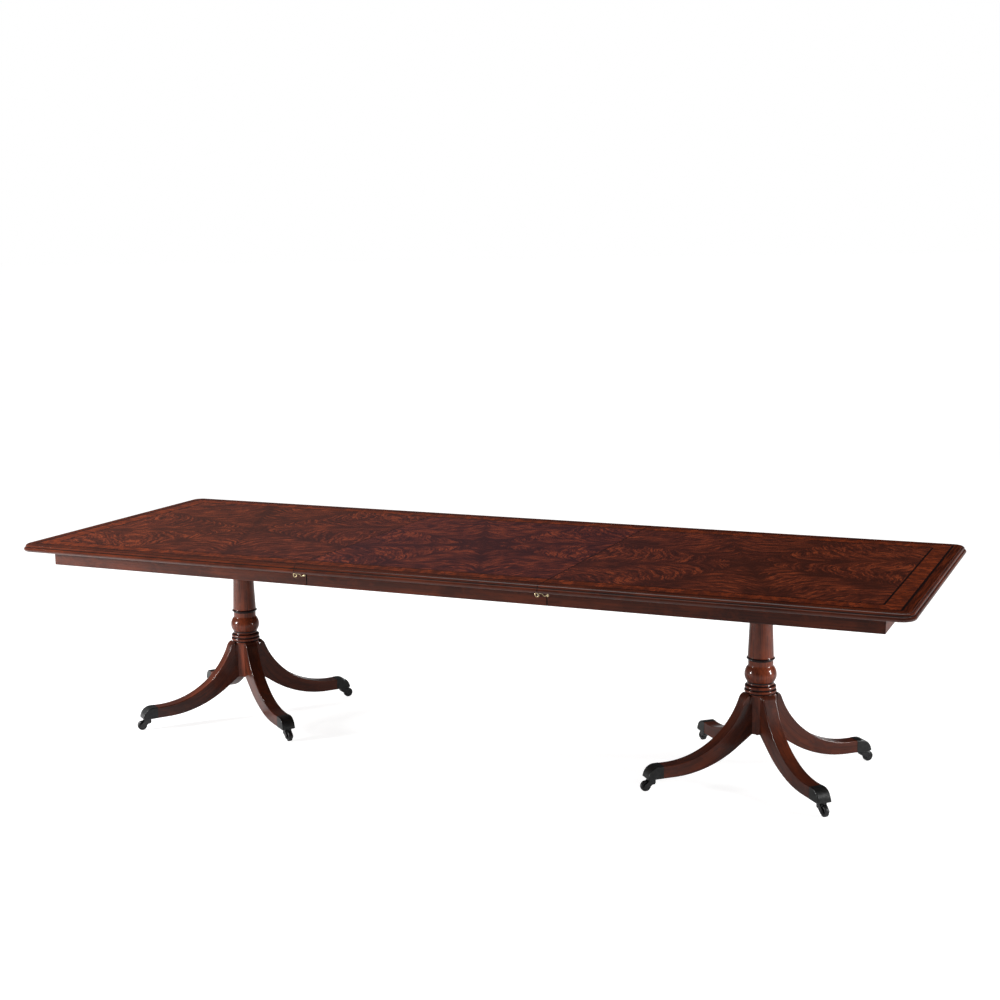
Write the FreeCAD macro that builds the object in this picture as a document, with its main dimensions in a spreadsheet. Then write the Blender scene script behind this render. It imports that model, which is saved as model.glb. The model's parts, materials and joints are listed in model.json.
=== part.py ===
import FreeCAD, Part
import math
import os
import re

import Sketcher
from FreeCAD import Placement, Rotation, Vector

# Extending dining table on two pedestals, with one loose leaf.
# X runs along the table, Y across it and Z up; the origin is on the floor under the table's centre.
# All lengths are in millimetres and all angles in degrees.

SIZES = {
    # Whole table
    "table_length": 3340,
    "table_width": 1190,
    "table_height": 762,
    "leaf_length": 920,
    "seam_gap": 0.3,
    # Tops and their moulded edge, as insets from the outer edge and drops from the face
    "top_thickness": 27,
    "corner_radius": 50,
    "lip_inset": 13.2,
    "lip_round": 0.8,
    "lip_step": 1.6,
    "lip_ledge": 0.8,
    "ovolo_foot_inset": 6.2,
    "ovolo_drop": 6.8,
    "ovolo_radius": 6.8,
    "bead_radius": 8,
    "edge_lap": 12,
    # Aprons and the rubbed blocks behind them
    "apron_inset_side": 88,
    "apron_inset_end": 99,
    "apron_height": 61,
    "apron_thickness": 22,
    "apron_arris": 4,
    "apron_gap": 3,
    "glue_block": 18,
    "glue_block_length": 60,
    # Telescopic runners under the tops
    "runner_end_gap": 249,
    "runner_reach": 360,
    "runner_width": 28,
    "runner_height": 46,
    "runner_row": 247,
    "middle_runner_length": 1100,
    "middle_runner_drop": 2,
    "middle_runner_ease": 0.3,
    "groove_height": 14,
    "groove_depth": 8,
    "slide_gap": 0.3,
    "tie_width": 44,
    "tie_thickness": 11,
    # Bearer that joins each column to its top
    "bearer_length": 360,
    "bearer_width": 300,
    "bearer_thickness": 45,
    "bearer_chamfer": 10,
    # Screws, all of one size
    "screw_length": 50,
    "screw_radius": 2.25,
    "screw_bite": 14,
    "head_radius": 4.5,
    "head_height": 3.5,
    "fit_gap": 0.1,
    # Pedestals
    "pedestal_from_seam": 597,
    "left_turn": 8,
    "right_turn": -2,
    # Turned column, from the leg block upwards
    "foot_tenon_radius": 22,
    "lower_ring_radius": 52.5,
    "lower_ring_height": 8,
    "lower_ring_bulge": 2,
    "ring_groove_radius": 50,
    "ring_gap": 2,
    "ring_bulge": 4,
    "middle_ring_radius": 56.5,
    "upper_ring_radius": 55,
    "ring_height": 12,
    "bulb_cove_height": 8,
    "bulb_foot_radius": 45.5,
    "bulb_fillet_radius": 46.8,
    "bulb_fillet_height": 3,
    "bulb_radius": 56,
    "bulb_lower_height": 26,
    "bulb_lower_swell": 10,
    "bulb_upper_height": 27,
    "bulb_upper_swell": 8.5,
    "neck_radius": 43.75,
    "neck_cove_height": 11,
    "neck_height": 13,
    "collar_cove_height": 4.5,
    "collar_radius": 49.5,
    "collar_height": 5,
    "shaft_foot_radius": 45.3,
    "shaft_cove_height": 6,
    "shaft_top_radius": 34.5,
    "top_tenon_radius": 25,
    "top_tenon_shortfall": 2,
    # Leg block and the dovetails that hold the legs
    "block_flat": 48.5,
    "block_clearance": 119.5,
    "block_height": 134,
    "dovetail_depth": 12,
    "dovetail_neck": 14,
    "dovetail_width": 20,
    "dovetail_headroom": 24,
    "plate_radius": 40,
    "plate_thickness": 3,
    "plate_screw_circle": 31,
    # Sabre legs, by reach from the column's axis
    "leg_thickness": 49,
    "leg_arris": 3,
    "shoulder_run": 19.2,
    "shoulder_drop": 18,
    "knee_run": 44,
    "knee_rise": 120,
    "calf_run": 244,
    "ankle_run": 22,
    "ankle_depth": 43.5,
    "heel_run": 56,
    "heel_rise": 77.5,
    "sole_run": 42,
    # Toe caps, each over a tongue on the leg
    "cap_proud": 0.8,
    "cap_length": 58,
    "cap_nose_round": 41,
    "cap_nose_cut": 6,
    "cap_arris": 3,
    "tongue_length": 23,
    "tongue_inset": 5,
    # Castors
    "castor_inset": 22,
    "castor_trail": 22,
    "castor_gap": 0.5,
    "wheel_radius": 18.5,
    "wheel_width": 16,
    "wheel_round": 4,
    "wheel_recess": 1.5,
    "wheel_hub_radius": 6,
    "wheel_headroom": 6.5,
    "wheel_side_gap": 0.6,
    "cheek_thickness": 4.5,
    "cheek_radius": 9,
    "boss_radius": 13,
    "boss_height": 19,
    "boss_heel": 6,
    "tyre_gap": 1.2,
    "axle_radius": 2.5,
    "axle_head_radius": 4,
    "axle_head_height": 1.2,
    "stem_radius": 4,
    "stem_length": 24,
    "running_gap": 0.05,
    # Brass catches across the seams
    "catch_row_inset": 29,
    "ring_offset": 11,
    "ring_radius": 6.25,
    "ring_wire": 2,
    "ring_hang": 11,
    "hook_span": 38.5,
    "hook_wire": 1.6,
    "hook_shelf_end": 17,
    "hook_shelf_rise": 5.2,
    "hook_dip_run": 27,
    "hook_dip_drop": 2,
    "hook_tail_rise": 2,
    "tail_radius": 3.5,
    "tail_height": 7,
    "finger_radius": 1.5,
    "finger_length": 7,
    "hook_stand_off": 1.5,
    "hook_pin_gap": 1.5,
    "keeper_radius": 1.75,
    "keeper_drop": 15,
    "keeper_head_radius": 2.6,
    "keeper_head_height": 1.5,
    "catch_stem_radius": 2,
    "catch_stem_length": 12,
    "catch_screw_radius": 1.5,
    "catch_head_radius": 3.4,
    "catch_head_height": 1.6,
    # Small overrun that lets one cut pass clean through a face
    "overrun": 1,
}

# Places along a piece, as shares of its length or width
RUNNER_SCREW_SHARES = (0.08, 0.36, 0.64, 0.92)
BEARER_SCREW_SHARES = ((-0.38, -0.36), (0.38, -0.36), (-0.38, 0.36), (0.38, 0.36))
SIDE_BLOCK_SHARES = (0.12, 0.37, 0.62, 0.87)
END_BLOCK_SHARES = (-0.3, 0.3)
LEAF_BLOCK_SHARES = (-0.36, 0.0, 0.36)

# Heights above the floor
UNDERSIDE = "(table_height - top_thickness)"
APRON_FOOT = f"({UNDERSIDE} - apron_height)"
RUNNER_FOOT = f"({UNDERSIDE} - runner_height)"
MIDDLE_RUNNER_TOP = f"({UNDERSIDE} - middle_runner_ease)"
TIE_TOP = f"({RUNNER_FOOT} - middle_runner_drop)"
BEARER_FOOT = f"({UNDERSIDE} - bearer_thickness)"
SCREW_FOOT = f"({UNDERSIDE} + screw_bite - screw_length)"
SOLE = "(2 * wheel_radius + wheel_headroom)"
ANKLE = f"({SOLE} + ankle_depth)"
KNEE = f"({ANKLE} + knee_rise)"
BLOCK_FOOT = f"({SOLE} + block_clearance)"
BLOCK_TOP = f"({BLOCK_FOOT} + block_height)"
CROWN = f"({BLOCK_TOP} + lower_ring_height)"
CATCH_HEIGHT = f"({UNDERSIDE} - ring_hang)"

# Reaches along X or out from a column's axis
END_LENGTH = "((table_length - leaf_length) / 2)"
SEAM = "(leaf_length / 2)"
PEDESTAL = f"({SEAM} + pedestal_from_seam)"
LEG_SEAT = "(sqrt(2) * block_flat - leg_thickness / 2)"
NOTCH = "(lower_ring_radius + slide_gap)"
SHOULDER = f"({NOTCH} + shoulder_run)"
KNEE_REACH = f"({SHOULDER} + knee_run)"
ANKLE_REACH = f"({KNEE_REACH} + calf_run)"
CAP_BACK = f"({ANKLE_REACH} + ankle_run)"
CAP_NOSE = f"({CAP_BACK} + cap_length)"
CASTOR_AXIS = f"({CAP_NOSE} - castor_inset)"
CATCH_ROW = "(table_width / 2 - catch_row_inset)"
APRON_OUT = "(table_width / 2 - apron_inset_side)"
APRON_IN = f"({APRON_OUT} - apron_thickness)"
APRON_END = f"({END_LENGTH} - apron_inset_end)"
APRON_END_IN = f"({APRON_END} - apron_thickness)"
HALF_GAP = "(apron_gap / 2)"
RUNNER_END = f"({APRON_END_IN} - runner_end_gap)"

SIDES = {"left": -1, "right": 1}
LEG_ANGLES = {
    "front_outer": -45,
    "back_outer": 45,
    "back_inner": 135,
    "front_inner": -135,
}

doc = FreeCAD.newDocument("dining_table")
sheet = doc.addObject("Spreadsheet::Sheet", "sizes")
for row, (alias, size) in enumerate(SIZES.items(), 1):
    sheet.set(f"A{row}", alias)
    sheet.set(f"B{row}", str(size))
    sheet.setAlias(f"B{row}", alias)
doc.recompute()

nodes = {}


def bound(text):
    """Expression with each size name pointed at its cell."""
    return re.sub(r"[a-z]\w*", lambda word: f"sizes.{word[0]}" if word[0] in SIZES else word[0], text)


def value(text):
    """Number that an expression gives now."""
    return float(sheet.evalExpression(bound(text)))


def bind(thing, path, text):
    thing.setExpression(path, bound(text))


def place(thing, x="0", y="0", z="0", turn="0"):
    """Binds a piece's place, and its turn about the vertical."""
    thing.Placement = Placement(Vector(), Rotation(Vector(0, 0, 1), 1))
    bind(thing, "Placement.Base.x", x)
    bind(thing, "Placement.Base.y", y)
    bind(thing, "Placement.Base.z", z)
    bind(thing, "Placement.Rotation.Angle", turn)


def keep(label, piece):
    """Names a finished piece as a node of the table."""
    piece.Label = label
    nodes[label] = piece
    return piece


class Outline:
    """Corners of a closed shape or an open path, with the arcs between them."""

    def __init__(self, x, y):
        self.corners = [(x, y)]
        self.arcs = {}

    def line(self, x, y):
        self.corners.append((x, y))
        return self

    def arc(self, x, y, radius, side):
        """Arc of a set radius that bulges to the left or right of the way travelled."""
        self.arcs[len(self.corners) - 1] = (radius, side)
        self.corners.append((x, y))
        return self


def arc_by_radius(start, end, radius, side):
    """Arc of less than half a turn, always drawn anticlockwise."""
    chord = end - start
    across = Vector(-chord.y, chord.x, 0).normalize() * (1 if side == "left" else -1)
    sagitta = radius - math.sqrt(max(radius ** 2 - (chord.Length / 2) ** 2, 0))
    middle = (start + end) / 2 + across * sagitta
    return Part.Arc(end, middle, start) if side == "left" else Part.Arc(start, middle, end)


def pin_point(sketch, edge, end, name, x, y):
    """Binds one point of a sketch to the sheet."""
    for axis, text in (("X", x), ("Y", y)):
        index = sketch.addConstraint(Sketcher.Constraint(f"Distance{axis}", edge, end, value(text)))
        sketch.renameConstraint(index, f"{name}{axis.lower()}")
        bind(sketch, f"Constraints.{name}{axis.lower()}", text)


def sketch_on(body, name, role, lift="0"):
    """Empty sketch on one of the body's own planes, lifted along that plane's normal."""
    sketch = body.newObject("Sketcher::SketchObject", name)
    sketch.AttachmentSupport = [(next(f for f in body.Origin.OriginFeatures if f.Role == role), "")]
    sketch.MapMode = "FlatFace"
    bind(sketch, "AttachmentOffset.Base.z", lift)
    return sketch


def draw(sketch, outline, closed=True):
    """Puts an outline into a sketch with every corner and radius bound to the sheet."""
    points = [Vector(value(x), value(y), 0) for x, y in outline.corners]
    count = len(points) if closed else len(points) - 1
    ends = []
    for edge in range(count):
        start = points[edge]
        end = points[(edge + 1) % len(points)]
        if edge in outline.arcs:
            radius, side = outline.arcs[edge]
            sketch.addGeometry(arc_by_radius(start, end, value(radius), side), False)
        else:
            sketch.addGeometry(Part.LineSegment(start, end), False)
        drawn = sketch.Geometry[edge]
        ahead = (drawn.StartPoint - start).Length < (drawn.EndPoint - start).Length
        ends.append((1, 2) if ahead else (2, 1))
    for edge in range(count):
        pin_point(sketch, edge, ends[edge][0], f"p{edge}", *outline.corners[edge])
        if edge in outline.arcs:
            pin_radius(sketch, edge, outline.arcs[edge][0])
        if not closed and edge + 1 == count:
            pin_point(sketch, edge, ends[edge][1], "last", *outline.corners[-1])
        else:
            follower = (edge + 1) % count
            sketch.addConstraint(
                Sketcher.Constraint("Coincident", edge, ends[edge][1], follower, ends[follower][0]))
    return sketch


def pin_radius(sketch, edge, radius):
    index = sketch.addConstraint(Sketcher.Constraint("Radius", edge, value(radius)))
    sketch.renameConstraint(index, f"r{edge}")
    bind(sketch, f"Constraints.r{edge}", radius)


def draw_circles(sketch, centres, radius):
    """Puts circles of one size into a sketch."""
    for index, (x, y) in enumerate(centres):
        circle = Part.Circle(Vector(value(x), value(y), 0), Vector(0, 0, 1), value(radius))
        sketch.addGeometry(circle, False)
        pin_point(sketch, index, 3, f"c{index}", x, y)
        pin_radius(sketch, index, radius)
    return sketch


def new_body(name):
    return doc.addObject("PartDesign::Body", name)


def extrude(kind, body, sketch, length, both_ways=False, reverse=False):
    feature = body.newObject(f"PartDesign::{kind}", f"{sketch.Name}_{kind}")
    feature.Profile = sketch
    feature.SideType = "Symmetric" if both_ways else "One side"
    feature.Reversed = reverse
    bind(feature, "Length", length)
    return feature


def pad(body, sketch, length, both_ways=False, reverse=False):
    return extrude("Pad", body, sketch, length, both_ways, reverse)


def cut(body, sketch, length, both_ways=False, reverse=True):
    """Pocket along the sketch's normal, or against it where reverse is False; it has to remove something."""
    doc.recompute()
    before = body.Shape.Volume
    feature = extrude("Pocket", body, sketch, length, both_ways, reverse)
    doc.recompute()
    if body.Shape.Volume >= before:
        raise RuntimeError(f"{sketch.Name} cuts nothing")
    return feature


def turn_solid(body, sketch):
    """Solid of revolution about the sketch's upright axis."""
    feature = body.newObject("PartDesign::Revolution", f"{sketch.Name}_turned")
    feature.Profile = sketch
    feature.ReferenceAxis = (sketch, ["V_Axis"])
    return feature


def dress(kind, body, size_name, size, chosen):
    """Fillet or chamfer along the edges of the body so far that pass a test."""
    doc.recompute()
    base = body.Tip
    names = [f"Edge{i}" for i, edge in enumerate(base.Shape.Edges, 1) if chosen(edge)]
    feature = body.newObject(f"PartDesign::{kind}", f"{body.Name}_{kind}")
    feature.Base = (base, names)
    bind(feature, size_name, size)
    return feature


def fillet(body, radius, chosen):
    return dress("Fillet", body, "Radius", radius, chosen)


def near(a, b):
    return abs(a - b) < value("fit_gap")


def lies_at(edge, **places):
    """True if both ends of an edge share the given coordinates."""
    return all(near(getattr(v.Point, axis), at) for v in edge.Vertexes for axis, at in places.items())


def swell(across, along):
    """Radius of an arc that runs upright at one end and is across deep over a height of along."""
    return f"((({across})^2 + ({along})^2) / (2 * ({across})))"


def carry_on(run, rise, slope):
    """Radius of an arc that climbs by rise over run and sets off at a slope in degrees."""
    return f"(sqrt(({run})^2 + ({rise})^2) / (2 * abs(sin(atan(({rise}) / ({run})) - {slope}))))"


def turned(x, y, angle):
    """A point turned about the origin."""
    return f"(({x}) * cos({angle}) - ({y}) * sin({angle}))", f"(({x}) * sin({angle}) + ({y}) * cos({angle}))"


# Section of the moulded edge from the face down: inset, drop, and the radius of the arc that leads there
EDGE_STEPS = (
    ("lip_inset + lip_round", "0", None),
    ("lip_inset", "lip_round", "lip_round"),
    ("lip_inset", "lip_step", None),
    ("lip_inset - lip_ledge", "lip_step", None),
    ("ovolo_foot_inset", "lip_step + ovolo_drop", "ovolo_radius"),
    ("bead_radius", "lip_step + ovolo_drop", None),
    ("bead_radius", "top_thickness - 2 * bead_radius", None),
    ("0", "top_thickness - bead_radius", "bead_radius"),
    ("bead_radius", "top_thickness", "bead_radius"),
)


def step_to(shape, x, y, radius):
    return shape.arc(x, y, radius, "right") if radius else shape.line(x, y)


def front_edge(shape):
    """Follows the moulding along the front, downwards."""
    for inset, drop, radius in EDGE_STEPS:
        step_to(shape, f"{inset} - table_width / 2", f"top_thickness - ({drop})", radius)
    return shape


def back_edge(shape):
    """Follows the moulding along the back, upwards."""
    led_by = [None] + [radius for _, _, radius in reversed(EDGE_STEPS)]
    for (inset, drop, _), radius in zip(reversed(EDGE_STEPS), led_by):
        step_to(shape, f"table_width / 2 - ({inset})", f"top_thickness - ({drop})", radius)
    return shape


def end_outline(inset):
    """Plan of an end top from its seam, inset all round its three free sides."""
    corner = f"corner_radius - ({inset})"
    shape = Outline("0", f"({inset}) - table_width / 2")
    shape.line(f"{END_LENGTH} - corner_radius", f"({inset}) - table_width / 2")
    shape.arc(f"{END_LENGTH} - ({inset})", "corner_radius - table_width / 2", corner, "right")
    shape.line(f"{END_LENGTH} - ({inset})", "table_width / 2 - corner_radius")
    shape.arc(f"{END_LENGTH} - corner_radius", f"table_width / 2 - ({inset})", corner, "right")
    shape.line("0", f"table_width / 2 - ({inset})")
    return shape


def side_x(side, local):
    """Place along the table of something on an end, from its distance to the seam."""
    return f"({SIDES[side]} * ({SEAM} + ({local})))"


def seat_end(piece, side, z="0"):
    """Stands a piece that is drawn from the seam outwards on its own end of the table."""
    place(piece, x=f"{SIDES[side]} * {SEAM}", z=z, turn="180" if side == "left" else "0")


RUNNER_ROWS = {
    "left": "(runner_row + runner_width + slide_gap)",
    "right": "(runner_row - runner_width - slide_gap)",
}


def runner_screws(side):
    places = [f"{share} * {RUNNER_END}" for share in RUNNER_SCREW_SHARES]
    return [(x, f"{sign} * {RUNNER_ROWS[side]}") for x in places for sign in (-1, 1)]


def bearer_screws():
    return [(f"{x} * bearer_length", f"{y} * bearer_width") for x, y in BEARER_SCREW_SHARES]


def top_screws(side):
    """Places of all the screws into an end top, from its seam."""
    return runner_screws(side) + [(f"pedestal_from_seam + {x}", y) for x, y in bearer_screws()]


def plate_screws(turn="0"):
    """Places of the screws in a leg plate, from the column's axis."""
    return [turned("plate_screw_circle", "0", f"({turn} + {angle})") for angle in (0, 90, 180, 270)]


def catch_pivots(side):
    """Places across an end of what its two catches turn on, from its seam."""
    reach = "ring_offset" if side == "left" else "hook_span - ring_offset"
    return [(reach, f"{sign} * {CATCH_ROW}") for sign in (-1, 1)]


def make_end_top(side):
    body = new_body(f"top_{side}_body")
    slab = draw(sketch_on(body, f"slab_{side}", "XY_Plane"), end_outline("lip_inset + edge_lap / 2"))
    pad(body, slab, "top_thickness")
    band = Outline("lip_inset + edge_lap - table_width / 2", "top_thickness")
    front_edge(band).line("lip_inset + edge_lap - table_width / 2", "0")
    section = draw(sketch_on(body, f"edge_{side}", "YZ_Plane"), band)
    path = draw(sketch_on(body, f"rim_{side}", "XY_Plane"), end_outline("0"), closed=False)
    rim = body.newObject("PartDesign::AdditivePipe", f"moulding_{side}")
    rim.Profile = section
    rim.Spine = (path, [f"Edge{number}" for number in range(1, len(path.Geometry) + 1)])
    pilots = sketch_on(body, f"pilots_{side}", "XY_Plane")
    cut(body, draw_circles(pilots, top_screws(side), "screw_radius + fit_gap"), "screw_bite + fit_gap")
    pivot_radius = "catch_stem_radius" if side == "left" else "catch_screw_radius"
    pivots = sketch_on(body, f"pivots_{side}", "XY_Plane")
    cut(body, draw_circles(pivots, catch_pivots(side), f"{pivot_radius} + running_gap"),
        "catch_stem_length + fit_gap")
    seat_end(body, side, UNDERSIDE)
    return keep(f"top_{side}", body)


def keeper_places():
    """Places of the four pins that the catches hold, from the leaf's centre."""
    reach = "(finger_radius + keeper_radius + hook_pin_gap)"
    row = f"({CATCH_ROW} - finger_length - hook_stand_off - keeper_radius)"
    left = f"hook_span - ring_offset - {SEAM} - {reach}"
    right = f"{SEAM} - ring_offset - ring_radius + {reach}"
    return [(x, f"{sign} * {row}") for x in (left, right) for sign in (-1, 1)]


def make_leaf_top():
    body = new_body("top_leaf_body")
    shape = Outline("0", "top_thickness")
    section = back_edge(front_edge(shape))
    profile = draw(sketch_on(body, "leaf_section", "YZ_Plane"), section)
    pad(body, profile, "leaf_length - 2 * seam_gap", both_ways=True)
    holes = sketch_on(body, "keeper_holes", "XY_Plane")
    cut(body, draw_circles(holes, keeper_places(), "keeper_radius + fit_gap"), "catch_stem_length + fit_gap")
    place(body, z=UNDERSIDE)
    return keep("top_leaf", body)


def make_apron(name, corners, outer, place_piece):
    """Apron rail from its plan, with its lower outer edge rounded."""
    body = new_body(f"{name}_body")
    shape = Outline(*corners[0])
    for corner in corners[1:]:
        shape.line(*corner)
    pad(body, draw(sketch_on(body, f"{name}_plan", "XY_Plane"), shape), "apron_height")
    fillet(body, "apron_arris", lambda edge: lies_at(edge, z=0, **{outer[0]: value(outer[1])}))
    place_piece(body)
    return keep(name, body)


def make_end_aprons(side):
    for name, sign in (("front", -SIDES[side]), ("back", SIDES[side])):
        corners = [
            (HALF_GAP, f"{sign} * {APRON_OUT}"),
            (APRON_END, f"{sign} * {APRON_OUT}"),
            (APRON_END_IN, f"{sign} * {APRON_IN}"),
            (HALF_GAP, f"{sign} * {APRON_IN}"),
        ]
        make_apron(f"apron_{name}_{side}", corners, ("y", f"{sign} * {APRON_OUT}"),
                   lambda body: seat_end(body, side, APRON_FOOT))
    corners = [
        (APRON_END, f"-{APRON_OUT}"),
        (APRON_END, APRON_OUT),
        (APRON_END_IN, APRON_IN),
        (APRON_END_IN, f"-{APRON_IN}"),
    ]
    make_apron(f"apron_end_{side}", corners, ("x", APRON_END), lambda body: seat_end(body, side, APRON_FOOT))


def make_leaf_aprons():
    reach = f"({SEAM} - {HALF_GAP})"
    for name, sign in (("front", -1), ("back", 1)):
        corners = [
            (f"-{reach}", f"{sign} * {APRON_OUT}"),
            (reach, f"{sign} * {APRON_OUT}"),
            (reach, f"{sign} * {APRON_IN}"),
            (f"-{reach}", f"{sign} * {APRON_IN}"),
        ]
        make_apron(f"apron_{name}_leaf", corners, ("y", f"{sign} * {APRON_OUT}"),
                   lambda body: place(body, z=APRON_FOOT))


def glue_block(name, x, y, along_x):
    """Block in the corner between an apron and its top, centred on x and y."""
    block = doc.addObject("Part::Box", name)
    length = "glue_block_length" if along_x else "glue_block"
    width = "glue_block" if along_x else "glue_block_length"
    bind(block, "Length", length)
    bind(block, "Width", width)
    bind(block, "Height", "glue_block")
    place(block, f"({x}) - ({length}) / 2", f"({y}) - ({width}) / 2", f"{UNDERSIDE} - glue_block")
    return block


def make_group(label, pieces):
    group = doc.addObject("Part::Compound", f"{label}_group")
    group.Links = pieces
    return keep(label, group)


def make_glue_blocks():
    side_row = f"({APRON_IN} - glue_block / 2)"
    for side in SIDES:
        places = [(f"{share} * {APRON_END_IN}", f"{sign} * {side_row}", True)
                  for share in SIDE_BLOCK_SHARES for sign in (-1, 1)]
        places += [(f"{APRON_END_IN} - glue_block / 2", f"{share} * 2 * {APRON_IN}", False)
                   for share in END_BLOCK_SHARES]
        blocks = [glue_block(f"glue_block_{side}_{number}", side_x(side, x), y, along_x)
                  for number, (x, y, along_x) in enumerate(places)]
        make_group(f"glue_blocks_{side}", blocks)
    blocks = [glue_block(f"glue_block_leaf_{number}", f"{share} * leaf_length", f"{sign} * {side_row}", True)
              for number, (share, sign) in enumerate((h, s) for h in LEAF_BLOCK_SHARES for s in (-1, 1))]
    make_group("glue_blocks_leaf", blocks)


GROOVE_TOP = f"({UNDERSIDE} - runner_height / 2 + groove_height / 2)"
GROOVE_FOOT = f"({UNDERSIDE} - runner_height / 2 - groove_height / 2)"


def make_end_runners(side):
    """Two runners fixed under an end, each grooved on the face towards its middle runner."""
    row = RUNNER_ROWS[side]
    towards = -1 if side == "left" else 1
    face = f"({row} + {towards} * runner_width / 2)"
    back = f"({row} - {towards} * runner_width / 2)"
    floor = f"({face} - {towards} * groove_depth)"
    pair = []
    for name, sign in (("front", -1), ("back", 1)):
        body = new_body(f"runner_{name}_{side}")
        shape = Outline(f"{sign} * {back}", RUNNER_FOOT)
        shape.line(f"{sign} * {face}", RUNNER_FOOT).line(f"{sign} * {face}", GROOVE_FOOT)
        shape.line(f"{sign} * {floor}", GROOVE_FOOT).line(f"{sign} * {floor}", GROOVE_TOP)
        shape.line(f"{sign} * {face}", GROOVE_TOP).line(f"{sign} * {face}", UNDERSIDE)
        shape.line(f"{sign} * {back}", UNDERSIDE)
        profile = draw(sketch_on(body, f"runner_{name}_{side}_section", "YZ_Plane", "-runner_reach"), shape)
        pad(body, profile, f"{RUNNER_END} + runner_reach")
        places = [(x, y) for x, y in runner_screws(side) if y.startswith(f"{sign} ")]
        heads = sketch_on(body, f"runner_{name}_{side}_heads", "XY_Plane", RUNNER_FOOT)
        cut(body, draw_circles(heads, places, "head_radius + fit_gap"),
            f"{SCREW_FOOT} - {RUNNER_FOOT} + head_height + fit_gap")
        shanks = sketch_on(body, f"runner_{name}_{side}_shanks", "XY_Plane", RUNNER_FOOT)
        cut(body, draw_circles(shanks, places, "screw_radius + fit_gap"), "runner_height + overrun")
        seat_end(body, side)
        pair.append(body)
    make_group(f"runners_{side}", pair)


def make_middle_runners():
    """Two runners that slide between those of the ends, tied together underneath."""
    inner = "(runner_row - runner_width / 2)"
    outer = "(runner_row + runner_width / 2)"
    low = f"({GROOVE_FOOT} + slide_gap)"
    high = f"({GROOVE_TOP} - slide_gap)"
    pair = []
    for name, sign in (("front", -1), ("back", 1)):
        body = new_body(f"middle_runner_{name}")
        shape = Outline(f"{sign} * {inner}", TIE_TOP)
        shape.line(f"{sign} * {outer}", TIE_TOP).line(f"{sign} * {outer}", low)
        shape.line(f"{sign} * ({outer} + groove_depth)", low).line(f"{sign} * ({outer} + groove_depth)", high)
        shape.line(f"{sign} * {outer}", high).line(f"{sign} * {outer}", MIDDLE_RUNNER_TOP)
        shape.line(f"{sign} * {inner}", MIDDLE_RUNNER_TOP).line(f"{sign} * {inner}", high)
        shape.line(f"{sign} * ({inner} - groove_depth)", high).line(f"{sign} * ({inner} - groove_depth)", low)
        shape.line(f"{sign} * {inner}", low)
        profile = draw(sketch_on(body, f"middle_runner_{name}_section", "YZ_Plane"), shape)
        pad(body, profile, "middle_runner_length", both_ways=True)
        pair.append(body)
    make_group("middle_runners", pair)
    tie = doc.addObject("Part::Box", "runner_tie_box")
    bind(tie, "Length", "tie_width")
    bind(tie, "Width", f"2 * {outer}")
    bind(tie, "Height", "tie_thickness")
    place(tie, "-tie_width / 2", f"-{outer}", f"{TIE_TOP} - tie_thickness")
    keep("runner_tie", tie)


def make_bearer(side):
    body = new_body(f"bearer_{side}_body")
    shape = Outline("-bearer_length / 2", "-bearer_width / 2")
    shape.line("bearer_length / 2", "-bearer_width / 2").line("bearer_length / 2", "bearer_width / 2")
    shape.line("-bearer_length / 2", "bearer_width / 2")
    pad(body, draw(sketch_on(body, f"bearer_{side}_plan", "XY_Plane"), shape), "bearer_thickness")
    dress("Chamfer", body, "Size", "bearer_chamfer", lambda edge: lies_at(edge, z=0))
    socket = draw_circles(sketch_on(body, f"bearer_{side}_socket", "XY_Plane"), [("0", "0")],
                          "top_tenon_radius + fit_gap")
    cut(body, socket, "bearer_thickness + overrun")
    heads = draw_circles(sketch_on(body, f"bearer_{side}_heads", "XY_Plane"), bearer_screws(),
                         "head_radius + fit_gap")
    cut(body, heads, f"{SCREW_FOOT} - {BEARER_FOOT} + head_height + fit_gap")
    shanks = draw_circles(sketch_on(body, f"bearer_{side}_shanks", "XY_Plane"), bearer_screws(),
                          "screw_radius + fit_gap")
    cut(body, shanks, "bearer_thickness + overrun")
    place(body, f"{SIDES[side]} * {PEDESTAL}", "0", BEARER_FOOT)
    return keep(f"bearer_{side}", body)


def make_screws(side):
    """One group of screws: those into the top, and those that hold the leg plate."""
    body = new_body(f"screws_{side}_body")
    body.AllowCompound = True
    plate = [(f"pedestal_from_seam + {x}", y) for x, y in plate_screws(f"{side}_turn")]
    plate_foot = f"{BLOCK_FOOT} - plate_thickness - head_height"
    for name, places, foot in (("top", top_screws(side), SCREW_FOOT), ("plate", plate, plate_foot)):
        shanks = sketch_on(body, f"{name}_shanks_{side}", "XY_Plane", foot)
        pad(body, draw_circles(shanks, places, "screw_radius"), "screw_length")
        heads = sketch_on(body, f"{name}_heads_{side}", "XY_Plane", foot)
        pad(body, draw_circles(heads, places, "head_radius"), "head_height")
    seat_end(body, side)
    return keep(f"screws_{side}", body)


def ring(shape, height, radius, bulge, tall):
    """Half-round ring on a turning, from its foot at a given height."""
    curve = swell(bulge, f"{tall} / 2")
    shape.line(f"{radius} - {bulge}", height)
    shape.arc(radius, f"{height} + {tall} / 2", curve, "right")
    shape.arc(f"{radius} - {bulge}", f"{height} + {tall}", curve, "right")
    return f"({height} + {tall})"


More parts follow.
